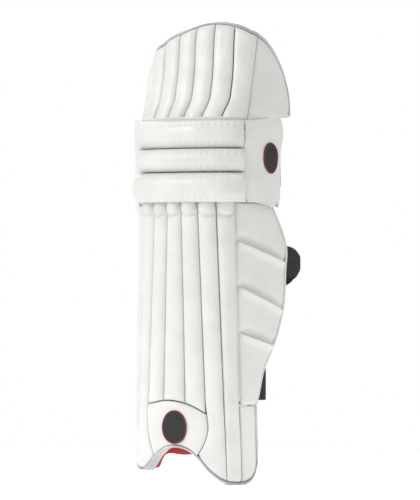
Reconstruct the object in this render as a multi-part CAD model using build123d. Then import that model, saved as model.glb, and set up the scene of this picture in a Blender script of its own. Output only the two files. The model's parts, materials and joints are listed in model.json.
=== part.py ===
from build123d import *
import math
import os

# ---------------------------------------------------------------------------
# Cricket leg pad, right-handed. Millimetres, +Z up, front faces -Y, the side
# wing is at +X. The origin is under the leg: midway along the foot notch,
# level with the inner rear edge, at the height of the lower foot lobe.
# ---------------------------------------------------------------------------

# Heights
crease_height = 444.0        # shin meets knee roll
knee_height = 120.0          # knee section
flap_height = 161.0          # thigh flap, measured straight up
crease_gap = 0.3             # half the gap across each crease, at its axis

# Shin rolls: width and facing of each roll (degrees round from -Y towards +X),
# at the calf and at the ankle. The pad is flatter over the foot.
calf_level = 366.0
calf_widths = [32, 32, 32, 32, 32, 32, 32]
calf_facings = [-58, -40, -29, -20, -10, 5, 30]
calf_centre = (0.0, -68.7)
ankle_level = 127.0
ankle_widths = [30, 31, 32, 38, 34, 32, 30]
ankle_facings = [-62, -44, -20, -5, 0, 8, 45]
ankle_centre = (0.0, -66.4)
middle_roll = 4

# Knee roll and flap follow the calf plan, a little larger
knee_scale = 34 / 32
knee_centre = (5.0, -72.0)
flap_centre = (8.5, -63.3)
flap_lean = 20.4             # degrees, backwards

# Layers of the shin, from the front face inwards
roll_depth = 22.0
roll_set_back = 6.0          # how far a roll's edges lie behind its crown
roll_gap = 0.3
cover_wall = 1.6
fit_clearance = 0.3
cane_radius = 3.5
canes_per_roll = 2
backing_thickness = 2.6
cushion_thickness = 20.0
centre_bolster_extra = 4.0
core_margin = 12.0           # a roll's filling stops this far below the crease

# Side panels that stand behind the last roll
wing_length = 104.0
wing_facing = 60.0
wing_pad_depth = 12.0
wing_set_back = 4.0
wing_board_thickness = 2.6
wing_cushion_thickness = 13.0
wing_hinge_gap = 2.0         # on each side of the wing's front seam
wing_board_gap = 0.85        # the board reaches the last roll across the seam
wing_cushion_gap = 3.0       # on each side of the wing's rear seam
wing_axis_depth = 14.0
foot_panel_length = 33.0
foot_panel_top = 119.0
rim_width = 3.0

# Knee: bolsters from the bottom, each with a height and how far it stands proud
knee_panel_length = 76.0
knee_panel_facing = 62.0
bolster_names = ["bottom", "middle", "top"]
bolster_heights = [41.0, 33.0, 37.0]
bolster_proud = [21.0, 17.0, 10.0]
bolster_back = 10.0          # depth behind the front line
bolster_edge = 8.0           # rounding of a bolster's front edges
knee_cushion_thickness = 24.0

# Flap
flap_panel_length = 76.0
flap_panel_facing = 54.0
rib_depth = 15.0
rib_set_back = 4.0
flap_liner_thickness = 12.0
flap_cane_radius = 3.0

# Creases: where each axis lies and the angle that it folds through
knee_axis_y = -45.0
knee_fold = 20.0
flap_axis_y = -50.0
flap_fold = 15.0

# Notch over the shoe, instep panel and the lobes beside it
notch_left = (-28.0, 44.0)
notch_top = (3.0, 58.0)
notch_right = (36.5, 42.0)
inner_lobe_bottom = 19.5
instep_top = 131.0
liner_split = 132.0          # instep cushion below, shin cushions above
tab_bottom = 97.0

# Straps
webbing = 2.5
ring_bar = 2.0               # radius of a ring's bars
ring_pitch = 14.0            # between a ring's two bars
ring_overhang = 6.0          # a ring's height past the webbing, each way
eye_clearance = 0.3
knee_strap_rise = 37.0       # middle of the knee strap above the crease
run_start = 0.5              # gap between a tail's eye and the webbing run
patch_thickness = 1.5

reach = 400.0                # longer than the pad in any plan direction


class Strap:
    """Where one strap lies: heights, ring and the route of its webbing in plan."""

    def __init__(self, name, level, width, ring, loop, run, tail_share):
        self.name = name
        self.level = level
        self.width = width
        self.ring = Vector(*ring)
        self.loop = loop
        self.run = run
        self.tail_share = tail_share


knee_strap = Strap(
    "knee", crease_height + knee_strap_rise, 33.0, (138.0, 22.5), [(148.0, 7.0), (151.5, 17.0)],
    [(60.0, 30.0), (0.0, 34.0), (-50.0, 29.0), (-76.4, 8.0)], 0.75
)
calf_strap = Strap(
    "calf", 331.0, 52.0, (104.0, 64.0), [(146.5, 31.2), (161.0, 50.0), (146.0, 66.0)],
    [(30.0, 69.0), (-25.0, 61.0), (-60.0, 38.0), (-66.0, 15.0)], 0.72
)
ankle_strap = Strap(
    "ankle", 156.0, 52.0, (101.0, 22.0), [(119.2, 1.3), (128.0, 12.0)],
    [(20.0, 28.0), (-35.0, 30.0), (-60.0, 22.0), (-68.5, 8.0)], 0.7
)


# ---------------------------------------------------------------------------
# Plan geometry
# ---------------------------------------------------------------------------
def normal_of(facing):
    """Outward direction in plan of a face turned by facing degrees."""
    return Vector(math.sin(math.radians(facing)), -math.cos(math.radians(facing)))


def along_of(facing):
    """Direction in plan along a face, towards the wing."""
    return Vector(math.cos(math.radians(facing)), math.sin(math.radians(facing)))


class Plan:
    """Front line of the rolls in plan: straight faces between corner points."""

    def __init__(self, widths, facings, centre, panel_length, panel_facing):
        self.facings = list(facings) + [panel_facing]
        lengths = list(widths) + [panel_length]
        middle = middle_roll - 1
        start = Vector(*centre) - along_of(facings[middle]) * (widths[middle] / 2)
        for k in range(middle):
            start = start - along_of(facings[k]) * widths[k]
        self.corners = [start]
        for length, facing in zip(lengths, self.facings):
            self.corners.append(self.corners[-1] + along_of(facing) * length)

    def corner(self, j, out):
        """Corner j moved out along the mitre between its two faces."""
        before = normal_of(self.facings[max(j - 1, 0)])
        after = normal_of(self.facings[min(j, len(self.facings) - 1)])
        mitre = (before + after) * (1 / (1 + before.dot(after)))
        return self.corners[j] + mitre * out


class Shell:
    """A section of the pad, whose plan changes in a straight line with height."""

    def __init__(self, low, high, low_z, high_z, bottom, top):
        self.low = low
        self.high = high
        self.low_z = low_z
        self.high_z = high_z
        self.bottom = bottom
        self.top = top

    def point(self, z, j, out):
        """Corner j at height z, moved out."""
        a = self.low.corner(j, out)
        b = self.high.corner(j, out)
        p = a + (b - a) * ((z - self.low_z) / (self.high_z - self.low_z))
        return Vector(p.X, p.Y, z)

    def roll_wire(self, z, k, front, back, before, after, set_back):
        """Section of roll k: a bowed front between two mitred sides."""
        first = self.point(z, k - 1, front - set_back)
        last = self.point(z, k, front - set_back)
        inner_first = self.point(z, k - 1, back)
        inner_last = self.point(z, k, back)
        along = (last - first).normalized()
        first = first + along * before
        inner_first = inner_first + along * before
        last = last - along * after
        inner_last = inner_last - along * after
        crown = (first + last) * 0.5 + Vector(along.Y, -along.X) * set_back
        bow = Edge.make_three_point_arc(first, crown, last)
        side = Edge.make_line(last, inner_last)
        rear = Edge.make_line(inner_last, inner_first)
        other_side = Edge.make_line(inner_first, first)
        return Wire([bow, side, rear, other_side])

    def roll(self, k, front, back, before, after, set_back):
        """Solid of roll k over the whole height, with gaps before and after it."""
        heights = (self.bottom, self.top)
        wires = [self.roll_wire(z, k, front, back, before, after, set_back) for z in heights]
        return Solid.make_loft(wires, True)

    def sheet_wire(self, z, first, last, front, back, before, after):
        """Section of a layer that runs from one corner to another."""
        outer = [self.point(z, j, front) for j in range(first, last + 1)]
        inner = [self.point(z, j, back) for j in range(first, last + 1)]
        for line in (outer, inner):
            start_way = (line[1] - line[0]).normalized()
            end_way = (line[-1] - line[-2]).normalized()
            line[0] = line[0] + start_way * before
            line[-1] = line[-1] - end_way * after
        return Wire.make_polygon(outer + inner[::-1], close=True)

    def sheet(self, first, last, front, back, before=0.0, after=0.0):
        """Solid of a layer between two depths, over the whole height."""
        heights = (self.bottom, self.top)
        wires = [self.sheet_wire(z, first, last, front, back, before, after) for z in heights]
        return Solid.make_loft(wires, True)

    def rod(self, k, share, depth, bottom, top, radius):
        """A cane inside roll k, at a share of its width."""
        wires = []
        for z in (bottom, top):
            a = self.point(z, k - 1, -depth)
            b = self.point(z, k, -depth)
            wires.append(Wire.make_circle(radius, Plane(a + (b - a) * share)))
        return Solid.make_loft(wires, True)

    def band(self, first, last, profile, inset=0.0):
        """A profile of (out, height) points carried along the front line."""
        sections = []
        for j in range(first, last + 1):
            inwards = 1 if j == first else -1
            neighbour = self.point(self.bottom, j + inwards, 0)
            shift = (neighbour - self.point(self.bottom, j, 0)).normalized() * inset
            if first < j < last:
                shift = Vector(0, 0, 0)
            ring = [self.point(z, j, out) + shift for out, z in profile]
            sections.append(Wire.make_polygon(ring, close=True))
        return Solid.make_loft(sections, True)


def outline_prism(points, axis="Y"):
    """Prism from an outline: X and Z seen along Y, or Y and Z seen along X."""
    if axis == "Y":
        places = [Vector(a, -reach, b) for a, b in points]
        way = Vector(0, 2 * reach, 0)
    else:
        places = [Vector(-reach, a, b) for a, b in points]
        way = Vector(2 * reach, 0, 0)
    return Solid.extrude(Face(Wire.make_polygon(places, close=True)), way)


def shrunk(prism, moves):
    """What an outline prism and its moved copies have in common."""
    for move in moves:
        prism = prism & (Pos(*move) * prism)
    return prism


def crease_wedge(axis_y, height, fold):
    """Room behind a crease, so that it folds without its ends meeting."""
    rise = math.tan(math.radians(fold / 2 + 1)) * reach
    points = [
        (-reach, height - crease_gap),
        (axis_y, height - crease_gap),
        (axis_y + reach, height - crease_gap - rise),
        (axis_y + reach, height + crease_gap + rise),
        (axis_y, height + crease_gap),
        (-reach, height + crease_gap),
    ]
    return outline_prism(points, "X")


def save(name, shapes):
    """Write one node; several solids go into it as a group."""
    solids = []
    for shape in shapes if isinstance(shapes, list) else [shapes]:
        solids.extend(shape.solids())
    whole = solids[0] if len(solids) == 1 else Compound(children=solids)
    export_step(whole, f"parts/{name}.step")


# ---------------------------------------------------------------------------
# Sections of the pad
# ---------------------------------------------------------------------------
knee_top = crease_height + knee_height
flap_top = knee_top + flap_height
knee_widths = [w * knee_scale for w in calf_widths]
flap_back = flap_height * math.tan(math.radians(flap_lean))
top_centre = (flap_centre[0], flap_centre[1] + flap_back)

calf_plan = Plan(calf_widths, calf_facings, calf_centre, wing_length, wing_facing)
ankle_plan = Plan(ankle_widths, ankle_facings, ankle_centre, wing_length, wing_facing)
foot_calf_plan = Plan(calf_widths, calf_facings, calf_centre, foot_panel_length, wing_facing)
foot_plan = Plan(ankle_widths, ankle_facings, ankle_centre, foot_panel_length, wing_facing)
knee_plan = Plan(knee_widths, calf_facings, knee_centre, knee_panel_length, knee_panel_facing)
flap_plan = Plan(knee_widths, calf_facings, flap_centre, flap_panel_length, flap_panel_facing)
top_plan = Plan(knee_widths, calf_facings, top_centre, flap_panel_length, flap_panel_facing)

roll_count = len(calf_widths)
rolls = range(1, roll_count + 1)
panel = roll_count + 1
shin_bottom = -12.0
core_top = crease_height - core_margin
shin = Shell(ankle_plan, calf_plan, ankle_level, calf_level, shin_bottom, crease_height)
core = Shell(ankle_plan, calf_plan, ankle_level, calf_level, shin_bottom, core_top)
foot = Shell(foot_plan, foot_calf_plan, ankle_level, calf_level, shin_bottom, foot_panel_top)
knee = Shell(knee_plan, knee_plan, crease_height, knee_top, crease_height, knee_top)
flap = Shell(flap_plan, top_plan, knee_top, flap_top, knee_top, flap_top)

knee_crease = crease_wedge(knee_axis_y, crease_height, knee_fold)
flap_crease = crease_wedge(flap_axis_y, knee_top, flap_fold)
creases = knee_crease + flap_crease

# Depths of the layers, measured out from the front line
roll_back = -roll_depth
backing_front = roll_back - fit_clearance
backing_back = backing_front - backing_thickness
cushion_front = backing_back - fit_clearance
cushion_back = cushion_front - cushion_thickness

# ---------------------------------------------------------------------------
# Outlines
# ---------------------------------------------------------------------------
foot_outline = [
    (-reach, crease_height),
    (-reach, 62.0),
    (-100.0, 52.0),
    (-84.0, 33.0),
    (-70.0, 22.0),
    (-57.0, inner_lobe_bottom),
    (-42.0, 27.0),
    notch_left,
    (-14.0, 54.5),
    notch_top,
    (21.0, 54.0),
    notch_right,
    (50.0, 26.0),
    (66.0, 9.0),
    (82.0, 1.5),
    (100.0, 0.0),
    (reach, 0.0),
    (reach, crease_height),
]
lobe_side_outline = [
    (-reach, crease_height),
    (-reach, 0.0),
    (-38.0, 0.0),
    (-24.0, 3.0),
    (-13.0, 14.0),
    (-8.5, 32.0),
    (-8.0, 70.0),
    (-8.5, crease_height),
]
instep_outline = [
    notch_left,
    (-42.0, 84.0),
    (-41.0, 108.0),
    (-20.0, 124.0),
    (0.0, instep_top),
    (26.0, 124.0),
    (45.0, 112.0),
    (48.0, 84.0),
    notch_right,
    (21.0, 40.0),
    (-14.0, 40.0),
]
flap_outline = [
    (-reach, knee_top - 30),
    (-reach, knee_top),
    (-88.0, knee_top + 1),
    (-81.0, knee_top + 46),
    (-64.0, knee_top + 100),
    (-38.0, knee_top + 132),
    (3.0, flap_top - 11),
    (47.0, flap_top - 0.5),
    (80.0, flap_top - 4),
    (103.0, flap_top - 14),
    (124.0, flap_top - 31),
    (139.0, knee_top + 102),
    (150.0, knee_top + 70),
    (157.0, knee_top + 38),
    (162.0, knee_top),
    (reach, knee_top - 30),
]
wing_outline = [
    (-reach, crease_height),
    (-4.0, crease_height),
    (20.0, 398.0),
    (29.0, 374.0),
    (29.5, 278.0),
    (18.0, 226.0),
    (-1.0, 178.0),
    (-11.6, 126.0),
    (-reach, 122.0),
]
wing_front_y = -61.0
wing_rear_y = 30.0
wing_grooves = [(382.0, 347.0), (314.0, 272.0), (243.0, 213.0)]
groove_half_gap = 0.6

rise = rim_width
foot_cut = outline_prism(foot_outline)
foot_inner = shrunk(foot_cut, [(0, 0, rise)])
lobe_cut = outline_prism(lobe_side_outline, "X")
lobe_inner = shrunk(lobe_cut, [(0, -rise, 0), (0, 0, rise)])
instep_cut = outline_prism(instep_outline)
instep_room = instep_cut
for step in [(-fit_clearance, 0, 0), (fit_clearance, 0, 0), (0, 0, fit_clearance)]:
    instep_room = instep_room + Pos(*step) * instep_cut
flap_cut = outline_prism(flap_outline)
flap_inner = shrunk(flap_cut, [(rise, 0, 0), (-rise, 0, 0), (0, 0, -rise)])
wing_cut = outline_prism(wing_outline, "X")
wing_inner = shrunk(wing_cut, [(0, -rise, 0), (0, 0, rise), (0, 0, -rise)])


def level_cut(bottom, top):
    """Everything between two heights."""
    points = [(-reach, bottom), (reach, bottom), (reach, top), (-reach, top)]
    return outline_prism(points)


# ---------------------------------------------------------------------------
# Shin
# ---------------------------------------------------------------------------
cane_low = 72.0              # lowest end of the outer canes
cane_over_instep = 8.0       # the middle canes stop above the instep panel
cane_spread = 0.3            # pitch of the canes, as a share of a roll's width
cane_depth = 12.5            # middle of a cane behind the front line


def make_shin_rolls():
    """Seven covered rolls, each with its filling and its canes."""
    fillings = []
    canes = []
    lower_end = foot_inner - instep_room
    space = lower_end & (Pos(0, 0, cover_wall) * lower_end)
    filled_space = space & (Pos(0, 0, fit_clearance) * space)
    for k in rolls:
        hinge = wing_hinge_gap if k == roll_count else roll_gap
        body = shin.roll(k, 0.0, roll_back, roll_gap, hinge, roll_set_back)
        wall = cover_wall
        hollow = core.roll(k, -wall, roll_back + wall, roll_gap + wall, hinge + wall, roll_set_back)
        wall = cover_wall + fit_clearance
        filled = core.roll(k, -wall, roll_back + wall, roll_gap + wall, hinge + wall, roll_set_back)
        filled = filled & filled_space
        low = instep_top + cane_over_instep if 3 <= k <= 5 else cane_low
        high = core_top - 2 * fit_clearance
        depth = cane_depth
        for n in range(canes_per_roll):
            share = 0.5 + (n - (canes_per_roll - 1) / 2) * cane_spread
            canes.append(core.rod(k, share, depth, low, high, cane_radius))
            bore = core.rod(k, share, depth, low - 1, core_top + 1, cane_radius + fit_clearance)
            filled = filled - bore
        cover = (body & lower_end) - knee_crease - (hollow & space)
        save(f"shin_roll_cover_{k}", cover)
        fillings.append(filled & level_cut(shin_bottom, high))
    save("shin_roll_fillings", fillings)
    save("shin_canes", canes)


def make_foot():
    """Backing, instep panel, side of the lower lobe and the piping round the foot."""
    layer = shin.sheet(0, roll_count, backing_front, backing_back, 0.0, wing_hinge_gap)
    save("shin_backing", (layer & foot_inner) - knee_crease)
    front = shin.sheet(2, 5, -1.0, roll_back)
    save("instep_panel", front & instep_cut & foot_inner)
    side = foot.roll(panel, 0.0, roll_back, roll_gap, 0.0, roll_set_back)
    save("foot_side_panel", side & foot_inner & lobe_inner)
    front_strip = (foot.sheet(0, roll_count, -rim_width, roll_back) & foot_cut) - foot_inner
    side_strip = foot.sheet(roll_count, panel, -rim_width, roll_back) & foot_cut & lobe_cut
    save("foot_piping", front_strip + (side_strip - (foot_inner & lobe_inner)))


def make_shin_liner():
    """Cushions on the leg side of the shin."""
    upper = level_cut(liner_split, crease_height)
    bolster_back = cushion_back - centre_bolster_extra
    centre = shin.sheet(3, 5, cushion_front, bolster_back, 1.0, 1.0)
    save("shin_centre_bolster", (centre & upper) - knee_crease)
    outer = shin.sheet(5, roll_count, cushion_front, cushion_back, 1.0, wing_cushion_gap)
    inner = shin.sheet(0, 3, cushion_front, cushion_back, 0.0, 1.0)
    save("shin_side_cushions", [(side & upper) - knee_crease for side in (outer, inner)])
    thin_back = cushion_back + centre_bolster_extra
    low = shin.sheet(0, roll_count, cushion_front, thin_back, 0.0, wing_cushion_gap)
    save("instep_cushion", low & foot_inner & level_cut(shin_bottom, tab_bottom - 0.5))
    middle = level_cut(tab_bottom, liner_split - 0.5)
    tab = shin.sheet(4, 6, cushion_front, cushion_front - 10, 6.0, 6.0)
    save("instep_tab", tab & middle)


# ---------------------------------------------------------------------------
# Wing
# ---------------------------------------------------------------------------
def make_wing():
    """Board, four padded segments, piping and the wing's cushion."""
    room = wing_inner - knee_crease
    pad = shin.roll(panel, 0.0, -wing_pad_depth, wing_hinge_gap, 0.0, wing_set_back) & room
    run = wing_rear_y - wing_front_y
    lines = [(crease_height + run, crease_height + run)] + wing_grooves + [(0.0, 0.0)]
    for n in range(len(lines) - 1):
        top_front, top_rear = lines[n]
        low_front, low_rear = lines[n + 1]
        points = [
            (wing_front_y, top_front - groove_half_gap),
            (wing_rear_y, top_rear - groove_half_gap),
            (wing_rear_y, low_rear + groove_half_gap),
            (wing_front_y, low_front + groove_half_gap),
        ]
        save(f"wing_segment_{n + 1}", pad & outline_prism(points, "X"))
    board_front = -wing_pad_depth - fit_clearance
    board_back = board_front - wing_board_thickness
    reach_back = wing_board_gap - wing_hinge_gap
    board = shin.sheet(roll_count, panel, board_front, board_back, reach_back, 0.0)
    save("wing_board", board & room)
    liner_front = board_back - fit_clearance
    liner_back = liner_front - wing_cushion_thickness
    liner = shin.sheet(roll_count, panel, liner_front, liner_back, wing_cushion_gap, 0.0)
    save("wing_cushion", liner & room)
    whole = shin.sheet(roll_count, panel, -wing_set_back, board_back, wing_hinge_gap, 0.0)
    edge = (whole & wing_cut) - wing_inner - knee_crease
    save("wing_piping", edge)


# ---------------------------------------------------------------------------
# Knee
# ---------------------------------------------------------------------------
def bolster_profile(bottom, top, proud, back, edge):
    """Rounded section of a horizontal bolster, as (out, height) points."""
    soft = edge * (1 - math.sqrt(0.5))
    return [
        (back, bottom),
        (proud - edge, bottom),
        (proud - soft, bottom + soft),
        (proud, bottom + edge),
        (proud, top - edge),
        (proud - soft, top - soft),
        (proud - edge, top),
        (back, top),
    ]


def make_knee():
    """Three bolsters, the panels beside them, the backing and the cushions."""
    bottom = crease_height + crease_gap
    fillings = []
    for name, height, proud in zip(bolster_names, bolster_heights, bolster_proud):
        low = bottom + fit_clearance
        high = bottom + height - fit_clearance
        profile = bolster_profile(low, high, proud, -bolster_back, bolster_edge)
        cover = knee.band(1, roll_count, profile, roll_gap)
        layers = []
        for wall in (cover_wall, cover_wall + fit_clearance):
            profile = bolster_profile(
                low + wall, high - wall, proud - wall, wall - bolster_back, bolster_edge - cover_wall
            )
            layers.append(knee.band(1, roll_count, profile, roll_gap + wall))
        save(f"knee_bolster_{name}", cover - layers[0] - creases)
        fillings.append(layers[1] - creases)
        bottom = bottom + height
    save("knee_bolster_fillings", fillings)
    knee_backing_front = -bolster_back - fit_clearance
    knee_backing_back = knee_backing_front - backing_thickness
    backing = knee.sheet(0, roll_count, knee_backing_front, knee_backing_back)
    save("knee_backing", backing - creases)
    inner = knee.roll(1, 4.0, -bolster_back, 0.0, roll_gap, 3.0)
    save("knee_inner_panel", inner - creases)
    outer = knee.roll(panel, 4.0, knee_backing_back, roll_gap, 0.0, 4.0)
    save("knee_outer_panel", outer - creases)
    front = knee_backing_back - fit_clearance
    back = front - knee_cushion_thickness
    save("knee_cushion", knee.sheet(2, 6, front, back, 1.0, 1.0) - creases)
    side_pads = [
        knee.sheet(0, 2, front, back + 4, 0.0, 1.0) - creases,
        knee.sheet(6, roll_count, front, back + 4, 1.0, 2.0) - creases,
    ]
    save("knee_side_cushions", side_pads)
    lining = knee.sheet(roll_count, panel, front, front - 3, 3.0, 4.0)
    save("knee_outer_lining", (lining & level_cut(505, 552)) - creases)


# ---------------------------------------------------------------------------
# Thigh flap
# ---------------------------------------------------------------------------
def stripe_x(share):
    """X of the liner's dividing line, from its foot (0) to its top (1)."""
    return 62.0 - 150.0 * share + 96.0 * share * share


def make_flap():
    """Seven ribs with canes, outer panel, backing, piping and a two-colour liner."""
    room = flap_inner - flap_crease
    canes = []
    rib_back = -rib_depth
    for k in rolls:
        rib = flap.roll(k, 0.0, rib_back, roll_gap, roll_gap, rib_set_back) & room
        top = {1: 50, 2: 92, 3: 120, 4: 132, 5: 136, 6: 132, 7: 116}[k] + knee_top
        low = knee_top + 12
        rib = rib - flap.rod(k, 0.5, rib_depth / 2, low, top, flap_cane_radius + fit_clearance)
        canes.append(flap.rod(k, 0.5, rib_depth / 2, low + 1, top - 1, flap_cane_radius))
        save(f"flap_rib_{k}", rib)
    save("flap_canes", canes)
    side = flap.roll(panel, 0.0, rib_back, roll_gap, 0.0, rib_set_back)
    save("flap_outer_panel", side & room)
    back_front = rib_back - fit_clearance
    back_back = back_front - backing_thickness
    save("flap_backing", flap.sheet(0, panel, back_front, back_back) & room)
    whole = flap.sheet(0, panel, -rib_set_back, back_back)
    save("flap_piping", (whole & flap_cut) - flap_inner - flap_crease)
    front = back_back - fit_clearance
    liner = flap.sheet(0, panel, front, front - flap_liner_thickness) & room
    steps = [n / 8 for n in range(9)]
    line = [(stripe_x(s), knee_top + (flap_height + 5) * s) for s in steps]
    inner_side = outline_prism([(-reach, knee_top)] + line + [(-reach, flap_top + 5)])
    save("flap_liner_red", liner & inner_side)
    save("flap_liner_white", liner - inner_side)


# ---------------------------------------------------------------------------
# Straps
# ---------------------------------------------------------------------------
def webbing_along(route, level, width, thickness):
    """Flat webbing that stands upright along a smooth route in plan."""
    path = Spline(*[Vector(p.X, p.Y, level) for p in route])
    start = path @ 0
    way = path % 0
    plane = Plane(start, x_dir=Vector(-way.Y, way.X, 0), z_dir=way)
    return sweep(plane * Rectangle(thickness, width), path)


def upright(place, level, radius, height):
    """Upright cylinder with its middle at the level."""
    return Pos(place.X, place.Y, level) * Cylinder(radius, height)


def eye(place, level, width):
    """Webbing sewn round a ring's bar."""
    inner = ring_bar + eye_clearance
    outside = upright(place, level, inner + webbing, width)
    return outside - upright(place, level, inner, width + 2)


def make_ring(strap):
    """Moulded ring: two upright bars joined above and below the webbing."""
    second = strap.ring + Vector(-ring_pitch, 0)
    height = strap.width + 2 * ring_overhang
    ring = upright(strap.ring, strap.level, ring_bar, height)
    ring = ring + upright(second, strap.level, ring_bar, height)
    middle = (strap.ring + second) * 0.5
    for side in (-1, 1):
        z = strap.level + side * (height / 2 - ring_bar)
        bridge = Box(ring_pitch, 2 * ring_bar, 2 * ring_bar)
        ring = ring + Pos(middle.X, middle.Y, z) * bridge
    save(f"{strap.name}_ring", ring)


def make_strap(strap):
    """Ring, short loop to the pad's outer edge, webbing run and fastening tail."""
    make_ring(strap)
    lift = ring_bar + eye_clearance + webbing / 2
    first_bar = strap.ring
    second_bar = strap.ring + Vector(-ring_pitch, 0)
    loop_route = [Vector(*p) for p in strap.loop] + [first_bar + Vector(0, lift)]
    loop_width = strap.width - 2
    loop = webbing_along(loop_route, strap.level, loop_width, webbing)
    save(f"{strap.name}_short_loop", loop + eye(first_bar, strap.level, loop_width))
    start = second_bar + Vector(-(ring_bar + eye_clearance + webbing + run_start), 0)
    run_route = [start] + [Vector(*p) for p in strap.run]
    run = webbing_along(run_route, strap.level, strap.width, webbing)
    save(f"{strap.name}_strap", run)
    path = Spline(*[Vector(p.X, p.Y, strap.level) for p in run_route])
    tail_route = [second_bar + Vector(0, lift)]
    patch_route = []
    for n in range(1, 7):
        share = strap.tail_share * n / 6
        place = path @ share
        way = path % share
        out = Vector(way.Y, -way.X)
        tail_route.append(Vector(place.X, place.Y) + out * lift)
        if n >= 3:
            patch_route.append(Vector(place.X, place.Y) + out * (lift + webbing / 2 + patch_thickness / 2))
    tail = webbing_along(tail_route, strap.level, strap.width, webbing)
    save(f"{strap.name}_tail", tail + eye(second_bar, strap.level, strap.width))
    if strap is calf_strap:
        patch = webbing_along(patch_route, strap.level, strap.width - 4, patch_thickness)
        save("calf_tail_patch", patch - tail)


os.makedirs("parts", exist_ok=True)
make_shin_rolls()
make_foot()
make_shin_liner()
make_wing()
make_knee()
make_flap()
for one_strap in (knee_strap, calf_strap, ankle_strap):
    make_strap(one_strap)
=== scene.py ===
import json
import logging
import math
from collections.abc import Callable
from dataclasses import dataclass, field
from enum import Enum

import bpy
import numpy as np
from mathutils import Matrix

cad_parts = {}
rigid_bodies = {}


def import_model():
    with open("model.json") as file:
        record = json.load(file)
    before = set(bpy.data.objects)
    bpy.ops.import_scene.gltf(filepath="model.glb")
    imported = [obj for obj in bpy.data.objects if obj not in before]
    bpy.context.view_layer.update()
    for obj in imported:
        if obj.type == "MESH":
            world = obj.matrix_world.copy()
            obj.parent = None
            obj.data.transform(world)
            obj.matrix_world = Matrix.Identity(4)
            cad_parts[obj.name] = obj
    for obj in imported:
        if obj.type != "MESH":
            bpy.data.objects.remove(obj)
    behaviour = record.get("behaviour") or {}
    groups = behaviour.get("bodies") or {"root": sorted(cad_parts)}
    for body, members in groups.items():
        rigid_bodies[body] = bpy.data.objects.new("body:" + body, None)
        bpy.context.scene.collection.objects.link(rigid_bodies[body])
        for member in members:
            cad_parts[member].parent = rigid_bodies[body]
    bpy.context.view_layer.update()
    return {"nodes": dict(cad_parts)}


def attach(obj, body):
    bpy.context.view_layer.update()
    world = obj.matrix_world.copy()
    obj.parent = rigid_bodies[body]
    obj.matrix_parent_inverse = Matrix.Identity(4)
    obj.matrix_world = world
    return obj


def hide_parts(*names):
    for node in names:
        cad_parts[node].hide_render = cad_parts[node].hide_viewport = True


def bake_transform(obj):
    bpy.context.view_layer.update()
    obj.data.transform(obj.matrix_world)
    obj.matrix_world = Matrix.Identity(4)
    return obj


for leftover in list(bpy.data.objects):
    bpy.data.objects.remove(leftover)
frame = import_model()

LOG = logging.getLogger("leg_pad")
MM = 0.001
Array = np.ndarray
# an outline takes shares a and b of a piece to its place: s in rolls along the front line, z in millimetres;
# a height takes a, b, s and z to millimetres out from the front line; a line gives a value along one side
Outline = Callable[[Array, Array], tuple[Array, Array]]
Height = Callable[[Array, Array, Array, Array], Array]
Sheets = tuple[Outline, Height, Height]
Line = Callable[[Array], Array]

# lengths along the front line, in metres, that the waves and maps of a surface are measured by
SHIN_ROLL = 0.032
KNEE_ROLL = 0.034
WING_WIDTH = 0.104
PANEL_WIDTH = 0.076
LINER_ROLL = 0.03


# Curves and noise
def smooth_curve(xs: list[float], ys: list[float]) -> Callable[[Array], Array]:
    """A smooth function through points: cubic pieces whose slope at a point is the mean of its neighbours'.

    Args:
        xs: places of the points, rising.
        ys: values there.

    Returns:
        A function of an array, held flat past both ends.
    """
    x = np.asarray(xs, float)
    y = np.asarray(ys, float)
    slopes = np.gradient(y, x)

    def value(at: Array) -> Array:
        """Values of the curve at an array of places."""
        t = np.clip(np.asarray(at, float), x[0], x[-1])
        k = np.clip(np.searchsorted(x, t) - 1, 0, len(x) - 2)
        width = x[k + 1] - x[k]
        u = (t - x[k]) / width
        return (
            y[k] * (1 + 2 * u) * (1 - u) ** 2
            + slopes[k] * width * u * (1 - u) ** 2
            + y[k + 1] * u * u * (3 - 2 * u)
            + slopes[k + 1] * width * u * u * (u - 1)
        )

    return value


def step(at: Array, low: float, high: float) -> Array:
    """Smooth rise from 0 at low to 1 at high, as 3t^2 - 2t^3."""
    t = np.clip((at - low) / (high - low), 0, 1)
    return t * t * (3 - 2 * t)


def ripples(x: Array, y: Array, size: float, seed: int, waves: int = 9) -> Array:
    """Soft unevenness between about -1 and 1: a sum of sine waves with seeded directions and phases.

    Args:
        x: first coordinate, in metres.
        y: second coordinate, in metres.
        size: typical wavelength, in metres.
        seed: picks the directions and phases.
        waves: how many waves are added.

    Returns:
        The height at each place.
    """
    rng = np.random.default_rng(seed)
    total = np.zeros(np.broadcast(x, y).shape)
    for _ in range(waves):
        angle, phase = rng.uniform(0, 2 * math.pi, 2)
        length = size * rng.uniform(0.6, 1.8)
        total = total + np.sin((x * math.cos(angle) + y * math.sin(angle)) * 2 * math.pi / length + phase)
    return total / math.sqrt(2 * waves)


def arch(share: Array, flatness: float, roundness: float = 0.5) -> Array:
    """Cross-section height over a share 0..1: (1 - |2a - 1|^flatness)^roundness, 0 at both edges."""
    return (1 - np.abs(2 * share - 1) ** flatness).clip(0) ** roundness


def seat(a: Array, b: Array, sharp_a: float, sharp_b: float) -> Array:
    """Fullness of a stuffed panel: product of a rounded rise across and one along."""
    return arch(a, sharp_a) * arch(b, sharp_b)


def creased(s: Array, z: Array, roll: float, *waves: tuple[float, float, int]) -> Array:
    """Slack of a surface in millimetres: the sum of ripples, each of a height, wavelength and seed."""
    return sum(height * ripples(s * roll, z * MM, size, seed) for height, size, seed in waves)


def level(value: float) -> Callable[..., Array]:
    """A line or a sheet that stays at one value."""
    return lambda at, *_: np.full(np.shape(at), float(value))


def wavy(depth: float, amount: float, roll: float, size: float, seed: int) -> Height:
    """A nearly flat sheet: its depth plus seeded waves."""
    return lambda a, b, s, z: depth + creased(s, z, roll, (amount, size, seed))


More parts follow.
